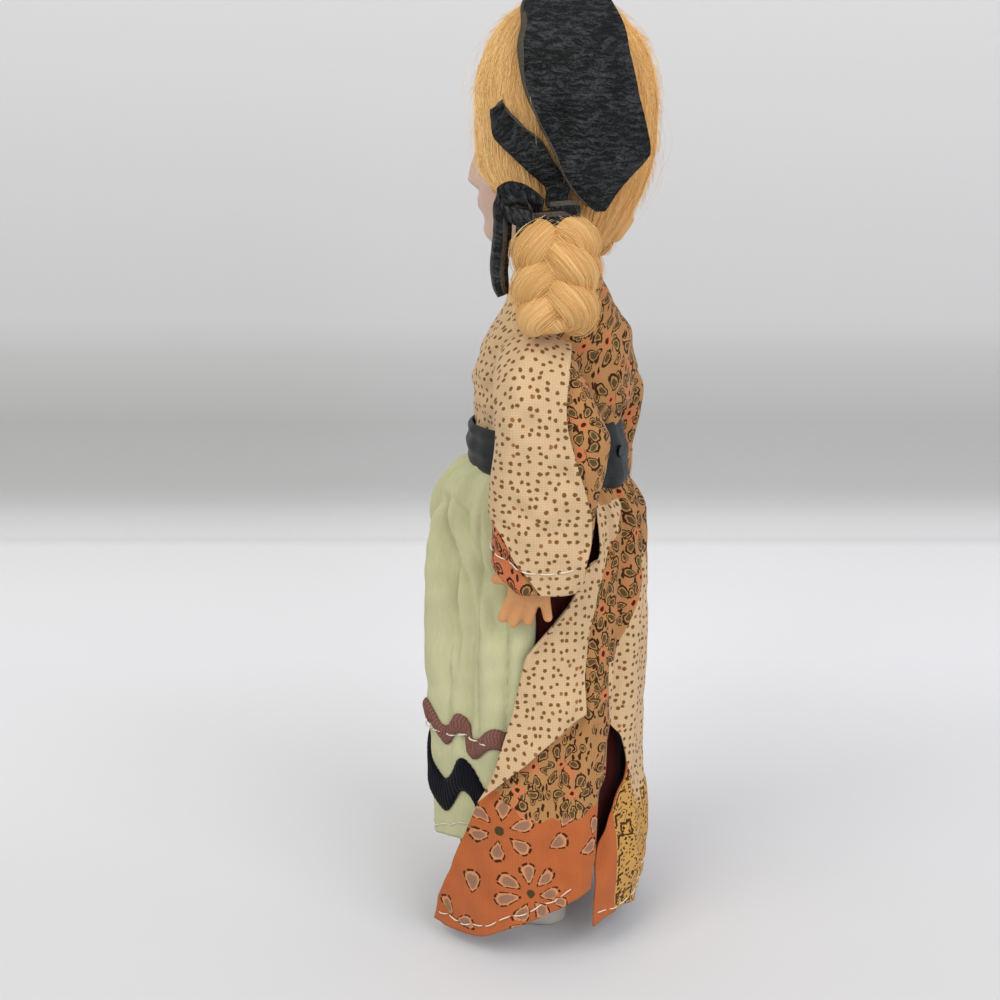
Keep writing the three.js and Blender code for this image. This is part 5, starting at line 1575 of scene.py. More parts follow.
@dataclass
class Head:
    """The hard plastic head with its small moulded face and the openings of its sleep eyes.

    Attributes:
        swellings: x, height, width, spread up, spread down and mm outwards of each soft form of the face.
    """

    plastic: Material
    swellings: tuple[tuple[float, float, float, float, float, float], ...] = (
        (0, 162.2, 1.35, 4.2, 1.3, 2.9), (0, 165.8, 1.7, 4, 3, 0.5), (0, 158.5, 2.7, 0.75, 0.75, 0.85),
        (0, 156.7, 2.3, 0.8, 0.9, 0.95), (0, 157.6, 3.4, 2.2, 2.0, 0.5), (0, 151.6, 3.4, 2, 2, 0.7),
        (1.5, 161.3, 0.9, 0.9, 0.8, 0.75), (-1.5, 161.3, 0.9, 0.9, 0.8, 0.75),
        (8.6, 159.5, 4.2, 3.6, 3.6, 0.7), (-8.6, 159.5, 4.2, 3.6, 3.6, 0.7),
        (6.4, 171.4, 4.2, 1.6, 2.0, 0.5), (-6.4, 171.4, 4.2, 1.6, 2.0, 0.5),
        (0, 154.6, 2.4, 0.8, 0.8, -0.5),
    )

    def make(self) -> Piece:
        """The grown form plus the face's swellings, each exp(-(rise squared + aside squared) / 2) of its mm."""
        turn = np.linspace(-np.pi, np.pi, 420, endpoint=False)
        turn = turn - 0.55 * np.sin(turn)
        height = np.concatenate([np.linspace(141, 150, 20, endpoint=False), np.linspace(150, 174, 110, endpoint=False),
                                 np.linspace(174, 195.5, 50)])
        turn, height = np.meshgrid(turn, height)
        points = HEAD_FORM.at(turn, height)
        front = points[..., 1] < 0
        for x, z, wide, up, down, out in self.swellings:
            rise = (height - z) / np.where(height > z, up, down)
            aside = (points[..., 0] - x) / wide
            points[..., 1] -= np.where(front, out * np.exp(-(rise**2 + aside**2) / 2), 0)
        lids = self.almond(points[..., 0], height)
        opened = 1 - smooth(0.9, 1.02, lids)
        rim = np.exp(-(((lids - 1.16) / 0.11) ** 2))
        facing = front & (lids < 3)
        points[..., 1] += np.where(facing, 3.4 * opened - 0.45 * rim, 0)
        skin = Skin(points, {"run": cloth_map(points, True)}, True)
        piece = build("plastic_head", [skin], [self.plastic], merged=True)
        with edited(piece) as work:
            crown = [edge for edge in work.edges if edge.is_boundary and edge.verts[0].co.z > 0.19]
            bmesh.ops.holes_fill(work, edges=crown, sides=0)
        self.tint(piece)
        return hang(piece, "head", "face_plastic", "head_front_shell", "head_back_shell")

    def almond(self, x: Array, height: Array) -> Array:
        """How far out of the eye opening a place is: 1 on the lid line, an oval slanted outwards and flatter below."""
        aside = (np.abs(x) - EYE_X) / 3.35
        rise = height - EYE_HEIGHT - 0.1 + 0.35 * aside
        return np.hypot(aside, rise / np.where(rise > 0, 2.15, 1.65))

    def tint(self, piece: Piece) -> None:
        """Keeps how much lip paint, blush and brow paint each point has, as the attributes of those names."""
        place_in = np.empty(len(piece.data.vertices) * 3, np.float32)
        piece.data.vertices.foreach_get("co", place_in)
        x, y, z = place_in.reshape(-1, 3).T * 1000
        front = y - AXIS_SHIFT < -2
        bow = 0.55 * np.exp(-((np.abs(x) - 0.9) ** 2) / 0.5)
        upper = np.hypot(x / 2.6, (z - 157.75) / (0.85 + bow))
        lower = np.hypot(x / 2.2, (z - 157.2) / 1.25)
        lips = np.maximum(1 - smooth(0.85, 1.05, upper), 1 - smooth(0.85, 1.05, lower)) * front
        blush = np.exp(-(((np.abs(x) - 8.6) / 3.6) ** 2 + ((z - 159.5) / 3.2) ** 2)) * front
        arch = 171.9 - ((np.abs(x) - 6.6) / 3.6) ** 2 * 1.2
        beyond = np.maximum(np.abs(np.abs(x) - 6.6) - 2.2, 0)
        brow = (1 - smooth(0.25, 0.6, np.abs(z - arch) + 0.12 * beyond**2)) * front
        lids = self.almond(x, z)
        lash = np.exp(-(((lids - 1.05) / 0.07) ** 2)) * (z > EYE_HEIGHT - 0.4) * front
        ray = 0.5 + 0.5 * np.sin(np.arctan2(z - EYE_HEIGHT, np.abs(x) - EYE_X) * 26)
        below = np.exp(-(((lids - 1.32) / 0.2) ** 2)) * (z < EYE_HEIGHT - 0.6) * smooth(0.7, 0.95, ray) * front
        painted = {"lips": lips, "blush": blush, "brows": np.maximum(np.maximum(brow, lash), below * 0.7)}
        for name, values in painted.items():
            layer = piece.data.attributes.new(name, "FLOAT", "POINT")
            layer.data.foreach_set("value", values.astype(np.float32))


@dataclass
class Eye:
    """One sleep eye with a row of lashes on its lid's edge."""

    plastic: Material
    lash: Material

    def make(self, side: Side) -> list[Piece]:
        """A ball by azimuth and elevation, whose map "gaze" holds both in degrees."""
        azimuth, elevation = np.meshgrid(np.linspace(-np.pi, np.pi, 97), np.linspace(-np.pi / 2, np.pi / 2, 65))
        ring = np.stack([
            np.cos(elevation) * np.sin(azimuth), -np.cos(elevation) * np.cos(azimuth), np.sin(elevation),
        ], -1)
        middle = np.array([EYE_X * side.value, EYE_Y, EYE_HEIGHT])
        skin = Skin(middle + ring * EYE_RADIUS, {"gaze": np.degrees(np.stack([azimuth, elevation], -1))})
        ball = build(f"{side.word}_eyeball", [skin], [self.plastic], merged=True)
        hang(ball, "eyes", "eye_plastic", f"{side.word}_eye")
        spread = np.radians(np.linspace(-38, 38, 26))
        share = np.linspace(0, 1, 6)
        level, lid = math.cos(np.radians(27)), math.sin(np.radians(27))
        out = np.stack([np.sin(spread) * level, -np.cos(spread) * level, np.full(26, lid)], -1)
        start = middle + out * (EYE_RADIUS - 0.05)
        bent = out[:, None] * (share * 1.5)[:, None] + np.array([0, 0, 1.0]) * (0.7 * share**2)[:, None]
        paths = start[:, None] + bent
        radius = np.broadcast_to(0.07 * (1 - 0.8 * share), (26, 6))
        lashes = build(f"{side.word}_lashes", tubes(paths, radius, 5, np.array([1.0, 0, 0])), [self.lash])
        return [ball, hang(lashes, "eyes", "mohair")]


@dataclass
class Shoe:
    """A moulded slip-on shoe with a rounded toe."""

    plastic: Material

    def make(self, side: Side) -> Piece:
        """The CAD shoe's own loose triangles are joined and rounded, so that it keeps its place and opening."""
        node = bpy.data.objects[f"{side.word}_shoe"]
        piece = bpy.data.objects.new(f"{side.word}_moulded_shoe", node.data.copy())
        bpy.context.scene.collection.objects.link(piece)
        weld(piece, 2e-5)
        piece.data.shade_smooth()
        rounding = piece.modifiers.new("soft", "SUBSURF")
        rounding.levels = rounding.render_levels = 2
        piece.data.materials.clear()
        piece.data.materials.append(self.plastic)
        return hang(piece, "torso", "shoe_plastic", f"{side.word}_shoe")


# Hair


WIG_GROWTH = (2.6, 1.0, 3.2)  # mm that the hair adds to the head at the side, the front and the back


def wig_reach(column: int, height: Array) -> Array:
    """The wig's half width (1), front (2) or back (3): the head's, moved up by the hair on top and thin at the nape."""
    lower = height - 1.5 * smooth(166.5, 195.5, height)
    thin = 2.3 * (1 - smooth(150, 170, height)) if column == 3 else 0.0
    return HEAD_FORM.reach(column, lower) + WIG_GROWTH[column - 1] - thin


def beside_wig(y: Array, height: Array, lift: Values = 0.0) -> Array:
    """The wig's left surface at a place y and a height: x = side . sqrt(1 - (y / depth) squared), plus a lift in mm."""
    y, height = np.broadcast_arrays(np.asarray(y, float), np.asarray(height, float))
    depth = np.where(y < 0, wig_reach(2, height), wig_reach(3, height))
    share = np.clip(np.abs(y) / depth, 0, 1)
    side = wig_reach(1, height)
    x = side * np.sqrt(1 - share**2)
    outward = np.stack([x / side**2, y / depth**2, np.clip((height - 172) / 26, 0, 1) ** 3 * 0.06], -1)
    outward /= np.linalg.norm(outward, axis=-1, keepdims=True)
    lift = np.asarray(lift, float)
    return np.stack([x, y, height], -1) + outward * (lift[..., None] if lift.ndim else lift)


@dataclass
class Wig:
    """Hair combed down from the crown and gathered into the root of a braid at each side.

    Attributes:
        front: (y, height, 1 where it lies on the doll's middle) from the crown over the forehead, along
            the face and back to the root, and back the same down the back of the head and under the nape.
    """

    hair: Material
    loose: Material
    front: tuple[tuple[float, float, int], ...] = (
        (3.0, 196.7, 1), (-4.0, 195.5, 1), (-7.5, 193.1, 1), (-10.6, 190.4, 1), (-12.9, 187.5, 1), (-14.0, 184.2, 1),
        (-14.2, 180.8, 1), (-13.2, 177.6, 0), (-12.9, 173.5, 0), (-12.6, 169.0, 0), (-11.3, 165.3, 0), (-8.6, 162.8, 0),
        (-5.0, 161.6, 0), (-1.5, 161.2, 0), (4.0, 158.9, 0),
    )
    back: tuple[tuple[float, float, int], ...] = (
        (3.0, 196.7, 1), (8.5, 195.6, 1), (12.6, 193.8, 1), (16.4, 191.0, 1), (19.0, 187.8, 1), (20.8, 184.0, 1),
        (21.4, 179.0, 1), (21.5, 174.0, 1), (21.0, 169.0, 1), (20.0, 164.5, 1), (18.2, 160.0, 1), (16.2, 155.6, 1),
        (14.0, 150.8, 1), (10.0, 147.6, 0), (5.2, 157.2, 0),
    )

    def edge(self, knots: tuple[tuple[float, float, int], ...], down: Array) -> tuple[Array, Array, Array]:
        """y, height and share on the middle of an edge, where y is the wig's own reach, so that the halves meet."""
        y, z, middle = through(knots, down)
        reach = np.where(y < 0, -wig_reach(2, z), wig_reach(3, z))
        return np.where(np.abs(y) > 7, y + (reach - y) * smooth(0.6, 1, middle), y), z, middle

    def surface(self, across: Array, down: Array, lift: Values = 0.0) -> Array:
        """A point of the left half.

        Args:
            across: the share of the way from the front edge to the back one.
            down: 0 at the crown and 1 at the root.
            lift: mm off the hair.

        Returns:
            The point of the wig's form whose side view lies that share of the way between the two edges.
        """
        (y_0, z_0, middle_0), (y_1, z_1, middle_1) = self.edge(self.front, down), self.edge(self.back, down)
        points = beside_wig(y_0 + (y_1 - y_0) * across, z_0 + (z_1 - z_0) * across, lift)
        shut = np.maximum(middle_0 * (1 - smooth(0, 0.02, across)), middle_1 * (1 - smooth(0, 0.02, 1 - across)))
        points[..., 0] *= (1 - shut) * smooth(0, 0.05, down)
        return points

    def locks(self, across: Array, down: Array) -> Array:
        """Relief of combed locks in mm: low waves that follow the strands, finer ones over broader ones."""
        swing = across + 0.006 * np.sin(down * 9 + across * 30)
        broad = 0.1 * np.sin(swing * 62 + 2 * np.sin(swing * 17)) + 0.06 * np.sin(swing * 119 + 1.3)
        fine = 0.03 * np.sin(swing * 400 + 3 * np.sin(swing * 60))
        return (broad + fine) * (1 - smooth(0.88, 1, down))

    def make(self, side: Side) -> list[Piece]:
        """The combed half, its single strands, a short fuzz and a few flyaways."""
        q, down = np.meshgrid(np.linspace(0, 1, 420), np.linspace(0, 1, 150))
        across = (1 - np.cos(np.pi * q)) / 2
        points = self.surface(across, down, self.locks(across, down))
        skin = Skin(mirror(points, side), {"run": np.stack([across * 70, down * 55], -1)})
        half = build(f"{side.word}_hair", [skin], [self.hair], flipped=side is Side.RIGHT)
        self.face_out(half)
        thicken(half, 1.1)
        return [hang(piece, "head", "mohair") for piece in (
            half,
            self.hairs(f"{side.word}_hair_strands", side, 2300, 12, (0.12, 0.36), (0.02, 0.26), (0.03, 0.06), 1.0),
            self.hairs(f"{side.word}_hair_fuzz", side, 1500, 7, (0.02, 0.07), (0.3, 1.5), (0.022, 0.03), 0.5),
            self.hairs(f"{side.word}_flyaways", side, 46, 16, (0.2, 0.4), (0.8, 3.4), (0.025, 0.03), 0.9),
        )]

    def face_out(self, piece: Piece) -> None:
        """Turns the faces outwards, by the sign of the sum of (centre - middle) . normal."""
        mesh = piece.data
        centres = np.empty(len(mesh.polygons) * 3, np.float32)
        normals = np.empty_like(centres)
        mesh.polygons.foreach_get("center", centres)
        mesh.polygons.foreach_get("normal", normals)
        middle = place(np.array([0, 3.0, 172.0]))
        if ((centres.reshape(-1, 3) - middle) * normals.reshape(-1, 3)).sum() < 0:
            mesh.flip_normals()

    def hairs(self, name: str, side: Side, count: int, steps: int, span: tuple[float, float], lift: tuple[float, float],
              radius: tuple[float, float], bow: float) -> Piece:
        """Single hairs that start anywhere on the half and follow its flow.

        Args:
            name: the piece's name.
            side: the half.
            count: how many hairs, of so many steps each.
            steps: points of one hair.
            span: the shortest and longest share of the way down that a hair takes.
            lift: mm that hairs stand off, and radius their radii in mm.
            bow: half turns of the sine by which a hair lifts: 1 ends on the head and 0.5 ends away from it.
        """
        rng = np.random.default_rng(count + side.value)
        across = (1 - np.cos(np.pi * rng.uniform(0.02, 0.98, count))) / 2
        start, way = rng.uniform(0.02, 0.97 - span[1], count), rng.uniform(*span, count)
        share = np.linspace(0, 1, steps)
        down = start[:, None] + way[:, None] * share
        drift = across[:, None] + rng.normal(0, 0.2 * (span[1] - span[0]), count)[:, None] * share**1.5
        drift = np.clip(drift, 0.003, 0.997)
        off = 0.02 + rng.uniform(*lift, count)[:, None] * np.sin(np.pi * bow * share)
        paths = self.surface(drift, down, self.locks(drift, down) + off)
        widths = rng.uniform(*radius, count)[:, None] * np.sin(np.pi * (0.06 + 0.88 * share)) ** 0.5
        shade = np.repeat(rng.uniform(0, 1, count), steps * 3).reshape(count, steps, 3)
        skins = tubes(mirror(paths, side), widths, 3, np.array([1.0, 0.2, 0.3]))
        return build(name, skins, [self.loose], shades=list(shade))


RIGHT_FORWARD = 7.6  # mm that the right braid's end lies further forward than the left's


@dataclass
class Braid:
    """A thick three-strand plait, folded up short below its tie.

    Attributes:
        middle: x, y of its middle line.
        top: its upper end's height, and bottom its lower end's.
        swing: mm that a strand swings each way across, and depth that it goes in and out.
        thick: a strand's radius in mm.
    """

    hair: Material
    loose: Material
    middle: tuple[float, float] = (24.5, 6.0)
    top: float = 157.6
    bottom: float = 136.6
    swing: float = 4.2
    depth: float = 1.7
    thick: float = 4.05

    def path(self, strand: int, share: Array, side: Side) -> Array:
        """A strand's middle line: y swings by sin(s) and x by sin(2 s), a third of a turn from strand to strand."""
        phase = 2 * np.pi * strand / 3 + 0.4
        s = 2 * np.pi * 1.06 * share + phase
        closing = smooth(0, 0.14, share) * (1 - 0.35 * smooth(0.86, 1, share))
        x = self.middle[0] - 1.6 * (1 - smooth(0, 0.2, share)) + self.depth * np.sin(2 * s) * closing
        y = self.middle[1] - 1.2 * (1 - smooth(0, 0.25, share)) + self.swing * np.sin(s) * closing
        if side is Side.RIGHT:
            y = y - RIGHT_FORWARD * smooth(0, 0.5, share)
        return np.stack([x, y, self.top + (self.bottom - self.top) * share], -1)

    def width(self, share: Array) -> Array:
        """A strand's radius: full in the middle and rounded off at both ends."""
        ends = np.sqrt(np.clip(1 - (2 * share - 1) ** 8, 0, 1))
        return self.thick * ends * (0.72 + 0.28 * smooth(0, 0.25, share))

    def make(self, side: Side) -> list[Piece]:
        """The three strands as faintly grooved tubes, with fine hairs that follow each and stand off a little."""
        share = np.linspace(0, 1, 110)
        rng = np.random.default_rng(40 + side.value)
        skins, paths = [], []
        local = np.linspace(0, 1, 14)
        for strand in range(3):
            path = self.path(strand, share, side)
            ring = tubes(path[None], self.width(share)[None], 56, np.array([1.0, 0, 0]))[0]
            turn = 2 * np.pi * np.arange(56) / 56
            groove = 0.05 * np.sin(7 * turn + 3 * share[:, None]) + 0.03 * np.sin(17 * turn - 2 * share[:, None])
            points = path[:, None] + (ring.points - path[:, None]) * (1 + groove[..., None] / self.thick)
            skins.append(Skin(mirror(points, side), {"run": ring.maps["run"] * np.array([24.0, 1.0])}, True))
            start, span = rng.uniform(0, 0.8, 520), rng.uniform(0.08, 0.2, 520)
            along = start[:, None] + span[:, None] * local
            centre = self.path(strand, along, side)
            ahead = np.gradient(centre, axis=1)
            ahead /= np.linalg.norm(ahead, axis=-1, keepdims=True)
            across = np.cross(ahead, np.array([1.0, 0, 0]))
            across /= np.linalg.norm(across, axis=-1, keepdims=True)
            high = np.cross(across, ahead)
            swept = rng.uniform(0, 2 * np.pi, 520)[:, None] + rng.normal(0, 0.3, 520)[:, None] * local
            off = self.width(along) + rng.uniform(0.02, 1.0, 520)[:, None] ** 2 * np.sin(2.2 * local) + 0.02
            outward = across * np.cos(swept)[..., None] + high * np.sin(swept)[..., None]
            paths.append(centre + off[..., None] * outward)
        plait = build(f"{side.word}_plait", skins, [self.hair], flipped=side is Side.RIGHT)
        paths = np.concatenate(paths)
        widths = np.broadcast_to(0.042 * np.sin(np.pi * (0.05 + 0.9 * local)) ** 0.5, paths.shape[:2])
        shade = np.repeat(rng.uniform(0, 1, len(paths)), 14 * 3).reshape(-1, 14, 3)
        skins = tubes(mirror(paths, side), widths, 3, np.array([1.0, 0, 0.1]))
        hairs = build(f"{side.word}_plait_hairs", skins, [self.loose], shades=list(shade))
        return [hang(plait, "head", "mohair", f"{side.word}_braid"), hang(hairs, "head", "mohair")]


# Leatherette ties and hat


def strip(left: Sequence[tuple[float, float, float]], right: Sequence[tuple[float, float, float]], rows: int,
          columns: int, cup: float) -> Array:
    """A strip between two edges given by knots in mm: straight across, plus a cup of sin(pi u) in x."""
    share = np.linspace(0, 1, rows)
    edges = [np.stack(through(knots, share), -1) for knots in (left, right)]
    u = np.linspace(0, 1, columns)[:, None]
    points = edges[0][:, None] * (1 - u) + edges[1][:, None] * u
    points[..., 0] += cup * np.sin(np.pi * u[:, 0])
    return points


@dataclass
class Tie:
    """The leatherette bow at the top of each braid: a wrapped knot, an upright tail, a loop and a rolled tail."""

    finishes: Sequence[Material]

    def make(self, side: Side) -> list[Piece]:
        """Each strip is set between its two edges as they lie beside the hair."""
        def beside(y: float, z: float, lift: float) -> tuple[float, float, float]:
            """A knot that stands off the wig."""
            point = beside_wig(np.array(y), np.array(z), lift)
            return (float(point[0]), y, z)

        top = [(23.6, 8.2, 160.6), beside(7.6, 163.6, 2.2), beside(4.9, 167.4, 1.9), beside(2.7, 171.2, 1.9),
               beside(-0.4, 173.6, 2.0), beside(-2.8, 175.8, 2.2), beside(-4.2, 177.4, 2.8), beside(-4.4, 178.6, 4.2)]
        low = [(24.2, 4.2, 159.6), beside(3.0, 163.0, 1.6), beside(-0.2, 166.0, 1.2), beside(-3.2, 168.6, 1.0),
               beside(-5.2, 170.3, 1.2), beside(-6.8, 171.8, 1.6), beside(-7.2, 174.6, 2.4), beside(-7.0, 177.0, 4.4)]
        hanging_front = [(24.0, 0.5, 162.0), (24.6, -3.0, 162.6), (24.9, -5.2, 160.4), (24.7, -5.4, 156.5),
                         (24.6, -5.7, 152.6), (24.4, -6.2, 148.4), (24.2, -5.8, 144.6), (24.0, -4.8, 142.6)]
        hanging_back = [(23.2, 1.6, 158.6), (23.6, -0.4, 158.6), (24.2, -2.4, 157.6), (24.4, -2.7, 155.0),
                        (24.6, -3.0, 151.6), (24.4, -3.4, 148.2), (24.2, -3.4, 145.4), (24.0, -3.5, 143.4)]
        loop_top = [(22.6, 3.4, 160.8), (23.6, 0.6, 163.4), (24.6, -2.8, 164.2), (25.4, -4.9, 162.6),
                    (26.2, -3.6, 160.2), (26.8, -0.6, 159.6), (27.0, 2.4, 158.8)]
        loop_low = [(22.8, 3.0, 156.6), (23.4, 0.2, 159.4), (24.2, -2.6, 160.6), (25.2, -3.6, 159.0),
                    (26.6, -2.4, 157.4), (27.2, 0.2, 156.2), (27.2, 2.6, 155.8)]
        end_front = [(26.2, 1.2, 158.0), (26.8, -0.6, 156.6), (27.2, -0.8, 154.4)]
        end_back = [(26.4, 3.6, 157.0), (27.0, 2.0, 156.4), (27.2, 1.6, 155.4)]
        shapes = {
            "tie_upright_tail": strip(low, top, 60, 16, 0.5),
            "tie_rolled_tail": strip(hanging_front, hanging_back, 70, 16, 1.7),
            "tie_loop": strip(loop_top, loop_low, 70, 14, 0.3),
            "tie_short_end": strip(end_front, end_back, 24, 12, 0.3),
        }
        pieces = []
        for name, points in shapes.items():
            points[..., 0] += 0.16 * waves(51, 10, 6, 2)(points[..., 1], points[..., 2])
            if side is Side.RIGHT and name == "tie_rolled_tail":
                points[..., 1] -= RIGHT_FORWARD * (1 - smooth(150.5, 160, points[..., 2]))
            skin = Skin(mirror(points, side), {"cloth": cloth_map(points)})
            if name == "tie_rolled_tail":
                skin.slots = np.where(np.abs(np.arange(15) - 10) < 2, 1, np.zeros((69, 1), int))
            piece = build(f"{side.word}_{name}", [skin], self.finishes, flipped=side is Side.LEFT)
            thicken(piece, 0.95, offset=0.0, rim=1)
            pieces.append(piece)
        pieces.append(self.knot(side))
        nodes = ("tie_upper_tail", "tie_lower_tail", "tie_knot", "tie_knot", "tie_knot")
        return [hang(piece, "head", "leatherette", f"{side.word}_{node}") for piece, node in zip(pieces, nodes)]

    def knot(self, side: Side) -> Piece:
        """A band wound 1.7 times round the top of the braid, on an ellipse that sinks and tilts on its way."""
        turn, aside = np.meshgrid(np.linspace(0, 2 * np.pi * 1.7, 170), np.linspace(-1, 1, 14), indexing="ij")
        drop = 158.6 - 1.15 * turn / (2 * np.pi) * 1.6 + aside * 1.7
        swell = 1 + 0.05 * np.sin(turn * 3) + 0.05 * turn / 6
        x = 23.6 + 3.0 * swell * np.cos(turn) - 0.35 * aside**2
        y = 5.4 + (4.9 * swell - 0.3 * aside**2) * np.sin(turn)
        points = np.stack([x, y, drop + 0.9 * np.sin(turn + 0.6)], -1)
        points[..., 0] += 0.2 * waves(61, 10, 5, 2)(turn * 3, aside * 2)
        frayed = np.where(np.abs(np.linspace(-1, 1, 13)) > 0.66, 1, np.zeros((169, 1), int))
        skin = Skin(mirror(points, side), {"cloth": cloth_map(points)}, slots=frayed)
        piece = build(f"{side.word}_tie_wrap", [skin], self.finishes, flipped=side is Side.LEFT)
        thicken(piece, 0.7, offset=0.0, rim=1)
        return piece


@dataclass
class Hat:
    """The stiff bow on the crown: two big wings that fall over the sides of the head, and the wrap between them.

    Attributes:
        front: (share up from the tip, y) of a wing's front edge, and back of its back edge, which lies
            further forward at the right.
        side: (share, x) of the wing's middle.
    """

    finishes: Sequence[Material]
    tip: float = 158.5
    root: float = 202.45
    front: Knots = (
        (0, 12.6), (0.071, 9.4), (0.165, 6.9), (0.271, 4.7), (0.373, 2.4), (0.448, 0.6), (0.503, -0.4), (0.562, -1.0),
        (0.635, -1.4), (0.701, -1.6), (0.771, -1.3), (0.853, -1.6), (1, 1.0),
    )
    back: Knots = (
        (0, 14.3), (0.03, 15.2), (0.08, 16.6), (0.15, 19.0), (0.225, 21.9), (0.26, 22.1), (0.323, 21.6), (0.496, 20.0),
        (0.64, 18.4), (0.767, 16.8), (0.862, 14.2), (1, 9.0),
    )
    right_back: Knots = (
        (0, 14.3), (0.071, 15.6), (0.225, 17.6), (0.4, 17.6), (0.55, 15.6), (0.7, 12.2), (0.862, 9.6), (1, 8.0),
    )
    side: Knots = (
        (0, 20.7), (0.307, 21.0), (0.557, 20.8), (0.671, 19.7), (0.785, 16.9), (0.887, 12.3), (1, 6.05),
    )

    def make(self) -> list[Piece]:
        """The wings, with a turned strip along each front edge, and the wrap."""
        pieces = [*self.wing(Side.LEFT), *self.wing(Side.RIGHT), self.wrap()]
        return [hang(piece, "head", "leatherette") for piece in pieces]

    def place_on(self, share: Array, across: Array, lift: Values, side: Side) -> Array:
        """A wing's point: y between its edges, and x its side curve less 0.02 (y - 4) squared where it is broad."""
        back = track(self.back if side is Side.LEFT else self.right_back)(share)
        y = track(self.front)(share) + (back - track(self.front)(share)) * across
        flat = smooth(0, 14, (self.root - self.tip) * (1 - share))
        creases = 0.3 * waves(71, 16, 26, 6)(y, share * 44) + 0.25 * np.sin(share * 44 * 0.5 + y * 0.45)
        x = track(self.side)(share) - 0.02 * flat * (y - 4) ** 2 + (creases + lift) * smooth(0.0, 0.1, 1 - share)
        return np.stack([x, y, self.tip + (self.root - self.tip) * share], -1)

    def wing(self, side: Side) -> list[Piece]:
        """One wing, thick enough to show its grey-brown cut edge, and the strip turned back along its front."""
        across, share = np.meshgrid(np.linspace(0, 1, 90), np.linspace(0, 1, 160))
        points = self.place_on(share, across, 0.55, side)
        skin = Skin(mirror(points, side), {"cloth": cloth_map(points)})
        leaf = build(f"hat_{side.word}_leaf", [skin], self.finishes, flipped=side is Side.RIGHT)
        thicken(leaf, 1.1, offset=0.0, rim=1)
        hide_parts(f"hat_{side.word}_wing")
        turned, share = np.meshgrid(np.linspace(-0.5, 1, 16), np.linspace(0.03, 0.985, 150))
        width = 0.7 + 2.3 * smooth(0.3, 0.95, share) + 0.25 * np.sin(share * 31)
        edge = width / (track(self.back)(share) - track(self.front)(share))
        across = turned * edge * np.where(turned < 0, 0.5, 1)
        folded = self.place_on(share, across, 1.3 - 1.15 * np.abs(turned - 0.1) ** 1.5, side)
        skin = Skin(mirror(folded, side), {"cloth": cloth_map(folded)}, slots=np.ones((149, 15), int))
        hem = build(f"hat_{side.word}_fold", [skin], self.finishes, flipped=side is Side.RIGHT)
        thicken(hem, 0.5)
        return [leaf, hem]

    def wrap(self) -> Piece:
        """The wrap: a band round the bow's middle, whose radius is pinched by its folds."""
        turn, way = np.meshgrid(np.linspace(0, 2 * np.pi, 96, endpoint=False), np.linspace(-1, 1, 60))
        fold = 0.3 * np.sin(5 * turn + way * 3) + 0.15 * np.sin(11 * turn - way * 2)
        pinch = np.sqrt(np.clip(1 - 0.35 * way**8, 0, 1))
        x = (6.3 + fold * 0.6) * np.cos(turn) * pinch
        z = self.root + (np.where(np.sin(turn) < 0, 5.4, 3.85) + fold * 0.5) * np.sin(turn) * pinch
        points = np.stack([x, 5 + 7.1 * way, z], -1)
        rings = (points, self.cap(points[0], -1), self.cap(points[-1], 1))
        skins = [Skin(ring, {"cloth": cloth_map(ring, True)}, True) for ring in rings]
        piece = build("hat_wrap", skins, self.finishes, merged=True)
        with edited(piece) as work:
            bmesh.ops.recalc_face_normals(work, faces=work.faces)
        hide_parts("hat_knot")
        return piece

    def cap(self, rim: Array, way: int) -> Array:
        """Closes an end of the wrap: rings that shrink to its middle and swell by 0.5 mm."""
        share = np.linspace(1, 0, 10)[:, None, None]
        middle = rim.mean(0)
        out = middle + (rim - middle) * share
        out[..., 1] += way * 0.5 * (1 - share[..., 0] ** 2)
        return out


# Scene


